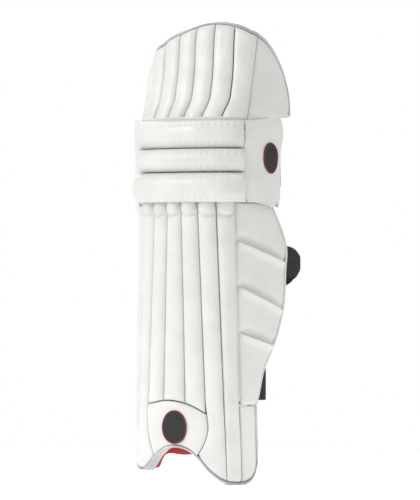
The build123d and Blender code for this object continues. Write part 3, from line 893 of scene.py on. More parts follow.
# Shin
@dataclass
class Shin:
    """Seven rolls, instep panel, foot side panel, binding and backing."""

    depth: float = 22.0
    valley: float = 8.0
    binding: float = 4.4
    side_end: float = 7.3
    sleeve_seam: float = 427.0
    sleeve: float = 4.6
    groove: float = 3.4
    hem: Callable = field(default_factory=lambda: smooth_curve(
        [0, 0.5, 1.0, 1.5, 2.0, 2.4, 2.7, 3.0, 3.3, 3.6, 4.0,
         4.4, 4.6, 5.0, 5.5, 6.0, 6.5, 7.0, 7.1, 7.2, 7.27, 7.31],
        [38, 28, 22.5, 19.6, 23, 33, 43.5, 51, 56.5, 58, 54.5,
         46, 39.5, 23, 8.5, 1.8, 0, 0, 1.5, 8, 20, 36]))
    instep_edge: Callable = field(default_factory=lambda: smooth_curve(
        [2.0, 2.5, 3.0, 3.3, 4.0, 4.5, 5.1], [125, 127.5, 130.5, 131, 126.5, 120, 109]))
    instep_left: Callable = field(default_factory=lambda: smooth_curve(
        [41, 63, 85, 107, 125], [2.65, 2.33, 2.12, 2.04, 2.0]))
    instep_right: Callable = field(default_factory=lambda: smooth_curve(
        [41, 66, 85, 109, 130], [4.45, 4.92, 5.1, 5.06, 5.0]))

    def edges(self, k: int, z: Array) -> tuple[Array, Array]:
        """Left and right edges of a roll: straight, but bent round the instep panel.

        Args:
            k: the roll's number.
            z: heights in millimetres.

        Returns:
            Both edges, in rolls.
        """
        left = np.full_like(z, k - 1.0)
        right = np.full_like(z, float(k))
        if k == 2:
            right = np.where(z < 125, self.instep_left(z), right)
        if k == 6:
            left = np.where(z < 130, self.instep_right(z), left)
        return left + 0.012, right - (0.062 if k == 7 else 0.012)

    def roll(self, k: int) -> None:
        """One roll: round-fronted, with a padded sleeve under the knee and soft creases.

        Args:
            k: the roll's number, from 1 at the inner side.
        """
        over_instep = 3 <= k <= 5

        def outline(a: Array, b: Array) -> tuple[Array, Array]:
            """Across the roll, and up from the hem or the instep panel."""
            s = k - 1 + a
            z = np.zeros_like(a)
            for _ in range(4):
                low = self.instep_edge(s) + 0.8 if over_instep else self.hem(s) + self.binding
                z = low + b * (ROLL_TOP + 1 - low)
                left, right = self.edges(k, z)
                s = left + a * (right - left)
            return s, z

        def front(a: Array, b: Array, s: Array, z: Array) -> Array:
            """Rounded across, with sleeve and end rounding, and a slack, creased surface."""
            low = 45.0 if over_instep else 16.0
            tall = ROLL_TOP - low
            foot = np.clip(b * tall / 10, 0, 1)
            end = np.sqrt(1 - (1 - foot) ** 2)
            flat = 1 - 0.55 * step(z, 150, 60)
            valley = self.valley * flat
            shape = arch(a, 2.1 + 1.4 * (1 - step(z, 60, 150)), 0.5)
            seam = self.sleeve_seam - 7.0 * arch(a, 2, 1)
            sleeve = self.sleeve * step(z, seam - 1.5, seam + 6) * (0.4 + 0.6 * shape)
            groove = -self.groove * np.exp(-((z - seam + 1.5) / 2.4) ** 2)
            slack = creased(s, z, SHIN_ROLL, (0.55, 0.05, k), (0.25, 0.016, 40 + k))
            return (-valley + (valley + sleeve + groove + slack) * shape) * end - (1 - end) * 7

        rear = hollow(-7, self.depth - 7.2, (10, 60), (0.35, 0.4))
        nodes = [f"shin_roll_cover_{k}"] + (["shin_roll_fillings"] if k == 4 else [])
        pad(SHIN, f"shin_roll_{k}", "white_leather", (outline, front, rear), (34, 240), (0.9, 0.35),
            Body.SHIN, *nodes, fill=0.8)

    def instep(self) -> None:
        """Smooth panel over the shoe, with a raised edge and a slight belly."""

        def outline(a: Array, b: Array) -> tuple[Array, Array]:
            """Between the side seams, up from the notch to the rolls' ends."""
            s = 2.4 + a * 2.3
            z = np.zeros_like(a)
            for _ in range(5):
                low = self.hem(s) + self.binding
                z = low + b * (self.instep_edge(s) - 0.4 - low)
                left, right = self.instep_left(z), self.instep_right(z)
                s = left + 0.015 + a * (right - left - 0.03)
            return s, z

        def front(a: Array, b: Array, s: Array, z: Array) -> Array:
            """Low dome with a turned edge."""
            dome = 2.2 * arch(a, 2.2, 0.8) * arch(b, 2.2, 0.8)
            edge = arch(a, 22, 0.5) * arch(b, 26, 0.5)
            return -5.5 + (4.3 + dome + creased(s, z, SHIN_ROLL, (0.35, 0.04, 77))) * edge

        rear = hollow(-5.5, self.depth - 6, (20, 20), (0.3, 0.3))
        pad(SHIN, "instep_panel_cover", "white_leather", (outline, front, rear), (110, 90), (0.6, 0.6),
            Body.SHIN, "instep_panel", fill=0.7)

    def foot_side(self) -> None:
        """Side of the lower outer lobe, behind the last roll."""

        def outline(a: Array, b: Array) -> tuple[Array, Array]:
            """From the last roll to the rear edge, up from the hem to the wing."""
            s = 7.01 + a * 0.285
            low = self.hem(s) + self.binding
            return s, low + b * (123.3 - low)

        def front(a: Array, b: Array, s: Array, z: Array) -> Array:
            """Gently rounded."""
            return -6 + (4.5 + creased(s, z, WING_WIDTH, (0.4, 0.04, 91))) * seat(a, b, 4, 20)

        rear = hollow(-6, self.depth - 6.5, (12, 20), (0.35, 0.35))
        pad(SHIN, "foot_side_cover", "white_leather", (outline, front, rear), (40, 90), (0.8, 0.5),
            Body.SHIN, "foot_side_panel", fill=0.7)

    def foot_binding(self) -> None:
        """Silver binding that folds over the whole lower edge and up the outer side."""
        along = np.linspace(0.0, self.side_end, 420)
        side = np.linspace(self.hem(np.array([self.side_end]))[0] + 1, 123, 60)
        s = np.concatenate([along, np.full(60, self.side_end + 0.005)])
        z = np.concatenate([self.hem(along) + 2.0, side])
        out = np.full(len(s), -12.2)
        piece = SHIN.cord("foot_binding", "silver_piping", s, z, out, (2.6, 10.4), 28, 0.6)
        finish_piece(piece, Body.SHIN, "silver_piping", "foot_piping")

    def backing(self) -> None:
        """Cloth-faced backing behind the rolls."""

        def outline(a: Array, b: Array) -> tuple[Array, Array]:
            """Whole width of the rolls."""
            s = 0.03 + a * 6.82
            low = self.hem(s) + self.binding + 1
            return s, low + b * (438 - low)

        front = wavy(-22.6, 0.2, SHIN_ROLL, 0.02, 5)
        pad(SHIN, "shin_backing_cloth", "backing", (outline, front, level(-24.6)), (60, 90), (0.2, 0.2),
            Body.SHIN, "shin_backing")

    def build(self) -> None:
        """Makes every piece of the shin's front."""
        for k in range(1, 8):
            self.roll(k)
        self.instep()
        self.foot_side()
        self.foot_binding()
        self.backing()

    def join_gusset(self) -> None:
        """Soft strip that spans the seam between the last roll and the wing."""

        def sunk(depth: float) -> Height:
            """A sheet sunk a little in the middle."""
            return lambda a, *_: depth - 1.5 * arch(a, 2, 1)

        piece = SHIN.pillow("wing_seam_gusset", "white_leather", strip(6.86, 0.19, 128, 315), sunk(-7.5),
                            sunk(-9.1), (20, 60), (0.2, 0.2))
        ends = SHIN.at(np.array([6.95, 7.03]), 0.28, -0.008)
        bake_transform(piece)


@dataclass
class Cushion:
    """A stuffed liner panel between two side lines and two end lines of pad space."""

    section: Section
    name: str
    finish: str
    left: Line
    right: Line
    low: Line
    high: Line
    front: float
    back: float
    full: tuple[float, float] = (3.0, 6.0)
    slack: float = 0.7
    seed: int = 1
    size: tuple[int, int] = (60, 90)
    fill: float = 0.7

    def build(self, body: Body, *nodes: str) -> None:
        """Makes the panel, full at its middle and pulled in at its edges, creased by slow waves.

        Args:
            body: the body that it rides on.
            nodes: the CAD nodes that it stands for.
        """

        def outline(a: Array, b: Array) -> tuple[Array, Array]:
            """Side lines at each height and end lines at each s, settled in turn."""
            s, z = a * SEAM, np.zeros_like(a)
            for _ in range(6):
                z = self.low(s) + b * (self.high(s) - self.low(s))
                s = self.left(z) + a * (self.right(z) - self.left(z))
            return s, z

        edge = self.front + 0.25 * (self.back - self.front)

        def near(a: Array, b: Array, s: Array, z: Array) -> Array:
            """Nearly flat face against the shell."""
            return edge + (self.front - edge) * seat(a, b, 14, 20)

        def far(a: Array, b: Array, s: Array, z: Array) -> Array:
            """Face towards the leg."""
            waves = (self.slack, 0.055, self.seed), (0.35 * self.slack, 0.018, self.seed + 50)
            return edge + (self.back - edge + creased(s, z, LINER_ROLL, *waves)) * seat(a, b, *self.full)

        pad(self.section, self.name, self.finish, (outline, near, far), self.size, (0.7, 0.6), body, *nodes,
            fill=self.fill)


def oval_patch(section: Section, name: str, s: float, z: float, out: Callable, half: tuple[float, float],
               body: Body, sign: float = 1.0) -> None:
    """A plain oval patch with a raised rim, on either face of a section.

    Args:
        section: where it lies.
        name: the patch's name.
        s: its middle in rolls.
        z: its middle's height in millimetres.
        out: depth of the face that it lies on, in millimetres, from s and z.
        half: half sizes, in rolls and in millimetres.
        body: the body that it rides on.
        sign: 1 on the front face, -1 on the leg side.
    """

    def outline(a: Array, b: Array) -> tuple[Array, Array]:
        """Square grid pressed into an oval."""
        u, v = 2 * a - 1, 2 * b - 1
        return s + half[0] * u * np.sqrt(1 - v * v / 2), z + half[1] * v * np.sqrt(1 - u * u / 2)

    def face(a: Array, b: Array, at_s: Array, at_z: Array) -> Array:
        """Thin and flat, rounded at its rim."""
        return out(at_s, at_z) + sign * (0.3 + 1.0 * seat(a, b, 16, 16))

    def under(a: Array, b: Array, at_s: Array, at_z: Array) -> Array:
        """Sunk into the face beneath."""
        return out(at_s, at_z) - sign * 1.2

    faces = (face, under) if sign > 0 else (under, face)
    disc = section.pillow(name, "badge_black", outline, *faces, (40, 40), (0.3, 0.3))
    turn = np.linspace(0, 2 * math.pi, 120, endpoint=False)
    at_s, at_z = s + half[0] * np.cos(turn), z + half[1] * np.sin(turn)
    line = section.at(at_s, at_z * MM, (out(at_s, at_z) + sign * 0.9) * MM)
    _, way = section.line(at_s, at_z * MM)
    normal = np.stack([way[:, 1], -way[:, 0], np.zeros(len(way))], -1)
    rim = tube(f"{name}_rim", "rim_red", line, normal, (1.3, 0.8), 10, closed=True)
    for piece in (disc, rim):
        finish_piece(piece, body, "patch_black")


# Leg side of the shin
@dataclass
class ShinLiner:
    """Mesh centre bolster, two-colour side cushions, instep liner and its tab."""

    split: float = 132.0
    top: float = 442.0
    front: float = -25.2
    back: float = -45.0

    def build(self, shin: Shin) -> None:
        """Makes the cushions; the white ones end at a slanting line under the red ones.

        Args:
            shin: the shin's front, whose lower edge the instep liner follows.
        """
        white_top = smooth_curve([4.9, 5.2, 5.8, 6.4, 7.0], [373, 392, 402, 410, 416])
        inner_top = smooth_curve([0.0, 1.0, 1.7, 2.2], [412, 402, 388, 368])
        whole = dict(section=SHIN, front=self.front)
        white = dict(finish="white_liner", back=self.back, full=(3.2, 14), size=(60, 150), **whole)
        red = dict(finish="red_leather", back=self.back + 1, full=(3.0, 6), size=(60, 50), **whole)
        outer, inner = (level(4.93), level(6.88)), (level(0.05), level(2.3))
        base, top = level(self.split), level(self.top)
        Cushion(name="centre_bolster", finish="red_mesh", left=level(2.35), right=level(4.88), low=base,
                high=lambda s: self.top - 9 * (2 * (s - 3.6) / 2.6) ** 2, back=self.back - 4.5,
                full=(2.3, 22), seed=3, size=(70, 200), **whole).build(Body.SHIN, "shin_centre_bolster")
        panels = (
            ("outer_cushion", outer, base, white_top, 5, white, ("shin_side_cushions",)),
            ("outer_cushion_top", outer, lambda s: white_top(s) + 0.6, top, 6, red, ()),
            ("inner_cushion", inner, base, inner_top, 7, white, ()),
            ("inner_cushion_top", inner, lambda s: inner_top(s) + 0.6, top, 8, red, ()),
        )
        for name, (left, right), low, high, seed, kind, nodes in panels:
            Cushion(name=name, left=left, right=right, low=low, high=high, seed=seed, **kind).build(
                Body.SHIN, *nodes)
        Cushion(name="instep_liner", finish="red_leather", left=level(0.05), right=level(6.93),
                low=lambda s: shin.hem(s) + 3.5 - 16 * np.exp(-(((s - 3.62) / 0.72) ** 2)),
                high=level(130.5), back=-38.0, full=(9, 7), seed=9,
                size=(150, 80), **whole).build(Body.SHIN, "instep_cushion")
        Cushion(section=SHIN, name="instep_tab_flap", finish="white_liner", left=level(4.5), right=level(6.1),
                low=lambda s: 98 + 9 * step(s, 5.6, 4.5), high=level(136), front=-36.0, back=-40.0,
                full=(14, 14), slack=0.2, seed=10, size=(40, 40)).build(Body.SHIN, "instep_tab")
        along = np.linspace(4.95, 6.86, 60)
        seam = SHIN.cord("outer_cushion_seam", "seam_red", along, white_top(along) + 0.4,
                         np.full(60, self.back + 10.5), (0.9, 4.5), 12)
        finish_piece(seam, Body.SHIN, "red_leather")


# Wing
@dataclass
class Wing:
    """Four padded segments behind stepped grooves, edge binding, board and liner."""

    start: float = 7.034
    board_start: float = 7.01
    front_y: float = -61.0
    span: float = 91.0
    grooves: tuple = ((382.0, 347.0), (314.0, 272.0), (243.0, 213.0))
    lip: float = 6.4

    def rear(self, z: Array) -> Array:
        """Rear edge in s at each height."""
        y = smooth_curve([122, 126, 178, 226, 278, 330, 374, 398, 420, 444],
                         [-13, -11.6, -1, 18, 29.5, 30.2, 29, 20, 9, -4])(z)
        return SHIN.share(1, y, z, -6.0, 6.6) + 0.045

    def groove(self, number: int, s: Array, z: Array) -> Array:
        """Height of a groove line at s: straight from its front height to its rear one."""
        front, rear = self.grooves[number]
        y = SHIN.at(s, z * MM, 0.0)[..., 1] / MM
        return front + (rear - front) * (y - self.front_y) / self.span

    def segment(self, number: int) -> None:
        """One padded segment, its upper edge standing over the one above.

        Args:
            number: which one, from 0 at the top.
        """

        def bounds(s: Array, z: Array) -> tuple[Array, Array]:
            """Lower and upper end at s."""
            low = np.full_like(z, 124.0) if number == 3 else self.groove(number, s, z)
            high = np.full_like(z, 441.5) if number == 0 else self.groove(number - 1, s, z)
            return low, high

        def outline(a: Array, b: Array) -> tuple[Array, Array]:
            """From the front seam to the rear edge, between the grooves."""
            z = np.full_like(a, 300.0)
            s = self.start + a * 0.8
            for _ in range(8):
                low, high = bounds(s, z)
                z = low + b * (high - low)
                s = self.start + a * (self.rear(z) - 0.03 - self.start)
            return s, z

        def front(a: Array, b: Array, s: Array, z: Array) -> Array:
            """Belly between the grooves, with a lip along the upper edge."""
            low, high = bounds(s, z)
            above = high - z
            lip = self.lip * np.exp(-((above - 3.5) / 7.0) ** 2) * (number > 0)
            ends = np.sqrt(1 - (1 - np.clip(above / 4.5, 0, 1)) ** 2)
            foot = step(z - low, -1.0, 16.0) if number < 3 else arch(b, 20, 0.5)
            slack = creased(s, z, WING_WIDTH, (0.6, 0.06, 110 + number), (0.22, 0.018, 160 + number))
            return -8.5 + (5.6 + lip + slack + 3.0 * foot) * (0.35 + 0.65 * foot) * ends * arch(a, 5, 0.5)

        rear = hollow(-8.6, 3.2, (14, 14), (0.4, 0.4))
        pad(SHIN, f"wing_pad_{number + 1}", "white_leather", (outline, front, rear), (70, 90), (0.6, 0.7),
            Body.WING, f"wing_segment_{number + 1}", fill=0.75)

    def build(self) -> None:
        """Makes the wing's pieces."""
        for number in range(4):
            self.segment(number)

        def board_outline(a: Array, b: Array) -> tuple[Array, Array]:
            """Whole wing, a little inside its edge."""
            z = 125 + b * 318
            return self.board_start + a * (self.rear(z) - 0.045 - self.board_start), z

        board = (board_outline, level(-12.2), wavy(-14.6, 0.2, WING_WIDTH, 0.03, 17))
        pad(SHIN, "wing_board_cloth", "backing", board, (40, 90), (0.2, 0.2), Body.WING, "wing_board")
        Cushion(section=SHIN, name="wing_liner", finish="white_liner", left=level(7.07),
                right=lambda z: self.rear(z) - 0.04, low=level(126), high=level(442), front=-15.2, back=-28.0,
                full=(5, 10), seed=21, size=(60, 150)).build(Body.WING, "wing_cushion")
        z = np.linspace(124, 433, 260)
        rim = self.rear(z)
        edge = SHIN.cord("wing_edge", "white_leather", rim - 0.02, z, np.full(260, -9.3), (2.2, 5.8), 20)
        finish_piece(edge, Body.WING, "white_leather", "wing_piping")
        seam = SHIN.cord("wing_liner_seam", "seam_red", rim - 0.05, z, np.full(260, -22.0), (1.0, 3.0), 12)
        finish_piece(seam, Body.WING, "red_leather")


# Knee
@dataclass
class Knee:
    """Three stitched bolsters, soft side panels, mesh cushion and white patch."""

    levels: tuple = (440.0, 487.0, 524.0, 567.0)
    roll: float = 34.0
    pucker_pitch: float = 9.5
    proud: tuple = (21.0, 17.0, 12.0)
    names: tuple = ("bottom", "middle", "top")

    def bolster(self, number: int) -> None:
        """One horizontal bolster with puckers along its seams.

        Args:
            number: which one, from 0 at the bottom.
        """
        low, high = self.levels[number], self.levels[number + 1]
        proud = self.proud[number]

        def front(a: Array, b: Array, s: Array, z: Array) -> Array:
            """Round-fronted, dimpled where it is stitched, a little wavy."""
            shape = arch(a, 26, 0.5) * arch(b, 2.7, 0.5)
            length = (s - 1) * self.roll
            rows = np.exp(-((z - low - 7) / 3.0) ** 2) + np.exp(-((high - 7 - z) / 3.0) ** 2)
            pucker = -1.5 * rows * (0.5 + 0.5 * np.cos(length * 2 * math.pi / self.pucker_pitch)) ** 3
            sag = creased(s, z, KNEE_ROLL, (0.9, 0.05, 200 + number), (0.3, 0.015, 240 + number))
            rim = lifted(b)
            return rim + (proud - rim + sag) * shape + pucker * shape

        def lifted(b: Array) -> Array:
            """Depth of the rim: the end bolsters' outer rims lie in front of the flap and of the rolls."""
            upper = 6.4 * step(b, 0.8, 1.0) if number == 2 else 0.0
            lower = 9.9 * step(b, 0.2, 0.0) if number == 0 else 0.0
            return -5.0 + upper + lower

        def rear(a: Array, b: Array, s: Array, z: Array) -> Array:
            """Flat behind."""
            hang = step(b, 0.1, 0.25) if number == 0 else step(1 - b, 0.1, 0.25) if number == 2 else 1.0
            return lifted(b) - 5.0 * arch(a, 30, 0.4) * arch(b, 8, 0.4) * hang

        outline = strip(1.008, 5.984, low + 0.2, high - low - 0.4)
        which = self.names[number]
        nodes = [f"knee_bolster_{which}"] + (["knee_bolster_fillings"] if number == 1 else [])
        pad(KNEE, f"bolster_{which}", "white_leather", (outline, front, rear), (240, 60), (0.2, 0.8),
            Body.KNEE, *nodes, fill=0.85, loose=number != 1)

    def panels(self) -> None:
        """Soft panels at both sides of the bolsters, and the backing."""
        low, high = 444.6, 567.0

        def ends(s: Array) -> tuple[Array, Array]:
            """Lower and upper end: they hang over both creases as far as the pieces beyond are cut back."""
            y = KNEE.at(s, 0.5, 0.0)[..., 1] / MM
            return KNEE_CREASE.rim(y, -1.0) - 3.5, FLAP_CREASE.rim(y, 1.0) + 3.0

        def corner(a: Array, b: Array) -> tuple[Array, Array]:
            """Outer panel: its rear edge leans, and its corners are round."""
            s = SEAM + a * (1.03 + 0.03 * b - 0.13 * np.abs(2 * b - 1) ** 7)
            bottom, top = ends(s)
            return s, bottom + b * (top - bottom)

        def lifted(b: Array) -> Array:
            """Depth of the panels' rims: in front of the neighbours at both ends, sunk between."""
            return 2.6 - 6.6 * arch(b, 6, 1.0) * step(b, 0.78, 0.6)

        def soft(a: Array, b: Array, s: Array, z: Array) -> Array:
            """Full and slack."""
            wave = creased(s, z, PANEL_WIDTH, (1.1, 0.06, 301), (0.35, 0.02, 302))
            rim = lifted(b)
            return rim + (5.5 + wave - rim) * seat(a, b, 3.4, 5.0)

        def under_badge(s: Array, z: Array) -> Array:
            """The outer panel's face under its patch."""
            a, b = (s - SEAM) / 1.015, (z - low - 1) / (high - low - 1)
            return soft(a, b, s, z) + 0.3

        def behind(drop: float) -> Height:
            """Flat behind, thin where it hangs over."""
            return lambda a, b, *_: lifted(b) - drop * arch(a, 14) * step(np.minimum(b, 1 - b), 0.07, 0.16)

        def first(a: Array, b: Array) -> tuple[Array, Array]:
            """First roll's width."""
            s = 0.01 + a * 0.98
            bottom, top = ends(s)
            return s, bottom + b * (top - bottom)

        for side, outline, drop, count in (("outer", corner, 8.6, 90), ("inner", first, 5.8, 40)):
            pad(KNEE, f"{side}_panel", "white_leather", (outline, soft, behind(drop)), (count, 120),
                (0.7, 0.7), Body.KNEE, f"knee_{side}_panel", fill=0.7, loose=True)
        whole = strip(0.03, 6.94, low + 4, high - low - 12)
        cloth = (whole, wavy(-10.4, 0.1, KNEE_ROLL, 0.02, 5), level(-12.6))
        pad(KNEE, "knee_backing_cloth", "backing", cloth, (60, 30), (0.1, 0.1), Body.KNEE, "knee_backing")
        oval_patch(KNEE, "knee_badge", 7.66, 509.0, under_badge, (0.2, 23.0), Body.KNEE)

    def liner(self) -> None:
        """Mesh cushion, mesh side pads, red panel behind the outer panel and its white patch."""
        whole = dict(section=KNEE, low=level(446.6), high=level(561.5), front=-13.2)
        cushions = (
            ("knee_cushion_mesh", "red_mesh", 1.9, 6.02, -36.5, ("knee_cushion",),
             dict(full=(3.0, 3.0), seed=31, slack=1.1, size=(110, 110))),
            ("knee_side_inner", "red_mesh", 0.05, 1.86, -32.5, ("knee_side_cushions",),
             dict(full=(3.4, 4.0), seed=32)),
            ("knee_side_outer", "red_mesh", 6.06, 6.9, -32.0, (), dict(full=(3.4, 4.0), seed=33)),
            ("knee_outer_liner", "red_leather", SEAM, 7.94, -15.6, ("knee_outer_lining",),
             dict(full=(14, 14), seed=34, slack=0.2)),
        )
        for name, finish, left, right, back, nodes, rest in cushions:
            Cushion(name=name, finish=finish, left=level(left), right=level(right), back=back, **whole,
                    **rest).build(Body.KNEE, *nodes)
        Cushion(section=KNEE, name="knee_white_patch", finish="white_liner",
                left=lambda z: 7.55 - 0.45 * step(z, 500, 548), right=level(7.93), low=level(500),
                high=level(554), front=-15.7, back=-18.0, full=(14, 14), seed=35, slack=0.3).build(Body.KNEE)

    def gusset(self, name: str, height: float, section: Section,
               depth: float) -> None:
        """Soft strip inside a crease.

        Args:
            name: the piece's name.
            height: the crease's height in millimetres.
            section: the section whose front line it follows.
            depth: how deep its face lies, in millimetres.
        """

        def front(a: Array, b: Array, s: Array, z: Array) -> Array:
            """A shallow fold."""
            return -depth - 1.5 * arch(b, 2, 1)

        piece = section.pillow(name, "white_leather", strip(0.06, 7.1, height - 9, 18), front,
                               level(-depth - 4.0), (120, 14), (0.1, 0.1))
        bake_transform(piece)

    def build(self) -> None:
        """Makes every piece of the knee."""
        for number in range(3):
            self.bolster(number)
        self.panels()
        self.liner()
        self.gusset("knee_crease_gusset", KNEE_LINE, OPEN_SHIN, 9.0)
        self.gusset("flap_crease_gusset", FLAP_LINE, OPEN_KNEE, 5.5)


# Thigh flap
@dataclass
class Flap:
    """Seven ribs, outer panel, silver binding and a two-colour liner."""

    base: float = 564.5
    side_start: float = 7.01
    outline_points: tuple = (
        (-81, 610), (-64, 664), (-38, 696), (3, 714), (47, 724.5), (80, 721), (103, 711), (124, 694),
        (139, 666), (150, 634), (157, 602), (161.5, 566),
    )
    divide_points: tuple = (
        (62, 564), (45.0, 582), (24.0, 606), (11.0, 640), (4.0, 672), (3.5, 698), (8.0, 728),
    )

    def __post_init__(self) -> None:
        """Turns the outline's X into s once."""
        x, z = np.array(self.outline_points, float).T
        s = FLAP.share(0, x, z, -9.0)
        s[0] = -0.01
        self.edge = smooth_curve(s.tolist(), z.tolist())
        self.edge_line = (s, z)

    def top(self, s: Array) -> Array:
        """Height of the binding's inner side at s."""
        return self.edge(s) - 4.6

    def rib(self, k: int) -> None:
        """One flat-fronted rib that leans over its first stretch, then runs straight up.

        Args:
            k: the rib's number, from 1 at the inner side.
        """

        def outline(a: Array, b: Array) -> tuple[Array, Array]:
            """From the crease to the binding."""
            s = k - 1 + 0.02 + a * 0.96
            low = self.base + 3.5 * (2 * a - 1) ** 2
            z = low + b * (self.top(s) - low)
            sway = 0.32 * (1 - step(z, 566, 606)) + 0.2 * step(z, 625, 715)
            edge = np.minimum(1, s / 1.2) * np.minimum(1, (SEAM - s) / 1.0)
            return s - sway * edge, low + b * (self.top(s - sway * edge) - low)

        def front(a: Array, b: Array, s: Array, z: Array) -> Array:
            """Flat across with rolled edges, rounded at both ends."""
            tall = self.top(s) - self.base
            end = np.sqrt(1 - (1 - np.clip(np.minimum(b, 1 - b) * tall / 9, 0, 1)) ** 2)
            slack = creased(s, z, KNEE_ROLL, (0.7, 0.06, 400 + k), (0.3, 0.018, 450 + k))
            return -5.5 + (6.2 + 1.2 * arch(a, 2, 1) + slack) * arch(a, 2.8, 0.5) * end

        rear = hollow(-5.6, 9.2, (16, 30))
        nodes = [f"flap_rib_{k}"] + (["flap_canes"] if k == 4 else [])
        pad(FLAP, f"flap_rib_pad_{k}", "white_leather", (outline, front, rear), (40, 140), (0.85, 0.5),
            Body.FLAP, *nodes, fill=0.8)

    def build(self) -> None:
        """Makes every piece of the flap."""
        for k in range(1, 8):
            self.rib(k)

        def side(a: Array, b: Array) -> tuple[Array, Array]:
            """Panel behind the last rib, cut by the binding."""
            s = self.side_start + a * (self.edge_line[0][-1] - 0.06 - self.side_start)
            return s, self.base + b * (self.top(s) - self.base)

        def face(a: Array, b: Array, s: Array, z: Array) -> Array:
            """Softly full."""
            wave = creased(s, z, PANEL_WIDTH, (0.8, 0.06, 480), (0.3, 0.02, 481))
            return -5.5 + (6.5 + wave) * seat(a, b, 4, 8)

        behind = hollow(-5.6, 9.2, (14, 30))
        pad(FLAP, "flap_side", "white_leather", (side, face, behind), (70, 110), (0.6, 0.5),
            Body.FLAP, "flap_outer_panel", fill=0.7)

        def whole(a: Array, b: Array) -> tuple[Array, Array]:
            """Inside the binding."""
            s = 0.03 + a * 7.8
            return s, self.base + b * (self.top(s) - 1.5 - self.base)

        cloth = (whole, level(-15.2), wavy(-17.6, 0.1, KNEE_ROLL, 0.02, 5))
        pad(FLAP, "flap_backing_cloth", "backing", cloth, (80, 60), (0.1, 0.1), Body.FLAP, "flap_backing")
        self.binding()
        self.liner()

    def binding(self) -> None:
        """Silver binding folded over the edge, from the crease up, over the top and down again."""
        side = np.linspace(self.base + 1, self.edge(np.array([0.0]))[0], 30)[:-1]
        along = (self.edge_line[0][-1] - 0.002) * (0.5 - 0.5 * np.cos(math.pi * np.linspace(0, 1, 420)))
        s = np.concatenate([np.zeros(29), along])
        z = np.concatenate([side, self.edge(along) - 1.8])
        s, z = s[z > self.base + 9], z[z > self.base + 9]
        piece = FLAP.cord("flap_binding", "silver_piping", s, z, np.full(len(s), -9.6), (3.0, 7.0), 28, 0.6)
        finish_piece(piece, Body.FLAP, "silver_piping", "flap_piping")

    def liner(self) -> None:
        """White panel, dark seam, white stripe and red panel on the leg side."""
        x, z = np.array(self.divide_points, float).T
        divide = smooth_curve(z.tolist(), FLAP.share(0, x, z, -27.0).tolist())
        common = dict(section=FLAP, low=level(self.base + 0.5), high=lambda s: self.top(s) - 0.5, front=-18.0)
        broad = dict(back=-30.0, full=(6, 4.5), size=(110, 100), slack=0.9, **common)
        Cushion(name="flap_liner_outer", finish="white_liner", left=lambda z: divide(z) + 0.02,
                right=level(7.84), seed=61, **broad).build(Body.FLAP, "flap_liner_white")
        Cushion(name="flap_liner_stripe", finish="white_liner", left=lambda z: divide(z) - 0.24,
                right=lambda z: divide(z) - 0.05, back=-28.6, full=(6, 8), seed=62, size=(14, 100), slack=0.2,
                **common).build(Body.FLAP)
        Cushion(name="flap_liner_inner", finish="red_leather", left=level(0.04),
                right=lambda z: divide(z) - 0.26, seed=63, **broad).build(Body.FLAP, "flap_liner_red")
        height = np.linspace(self.base + 3, 708, 160)
        line = divide(height) - 0.015
        seam = FLAP.cord("flap_liner_seam", "seam_red", line, height, np.full(160, -26.6), (1.4, 2.0), 12)
        finish_piece(seam, Body.FLAP, "red_leather")
        oval_patch(FLAP, "flap_badge", 5.75, 651.0, level(-30.6), (0.62, 25.0), Body.FLAP, sign=-1.0)


# Straps
def route(points: list, count: int = 120) -> Array:
    """Smooth plan path through points in millimetres: cubic pieces over the chord length, in metres."""
    place = np.array(points, float)
    chord = np.concatenate([[0], np.cumsum(np.linalg.norm(np.diff(place, axis=0), axis=1))])
    at = np.linspace(0, chord[-1], count)
    return np.stack([smooth_curve(chord.tolist(), place[:, n].tolist())(at) for n in (0, 1)], -1) * MM


def plan_normal(path: Array) -> Array:
    """Direction away from the leg at each point of a plan path."""
    way = np.gradient(path, axis=0)
    way /= np.linalg.norm(way, axis=1, keepdims=True)
    return np.stack([way[:, 1], -way[:, 0]], -1)


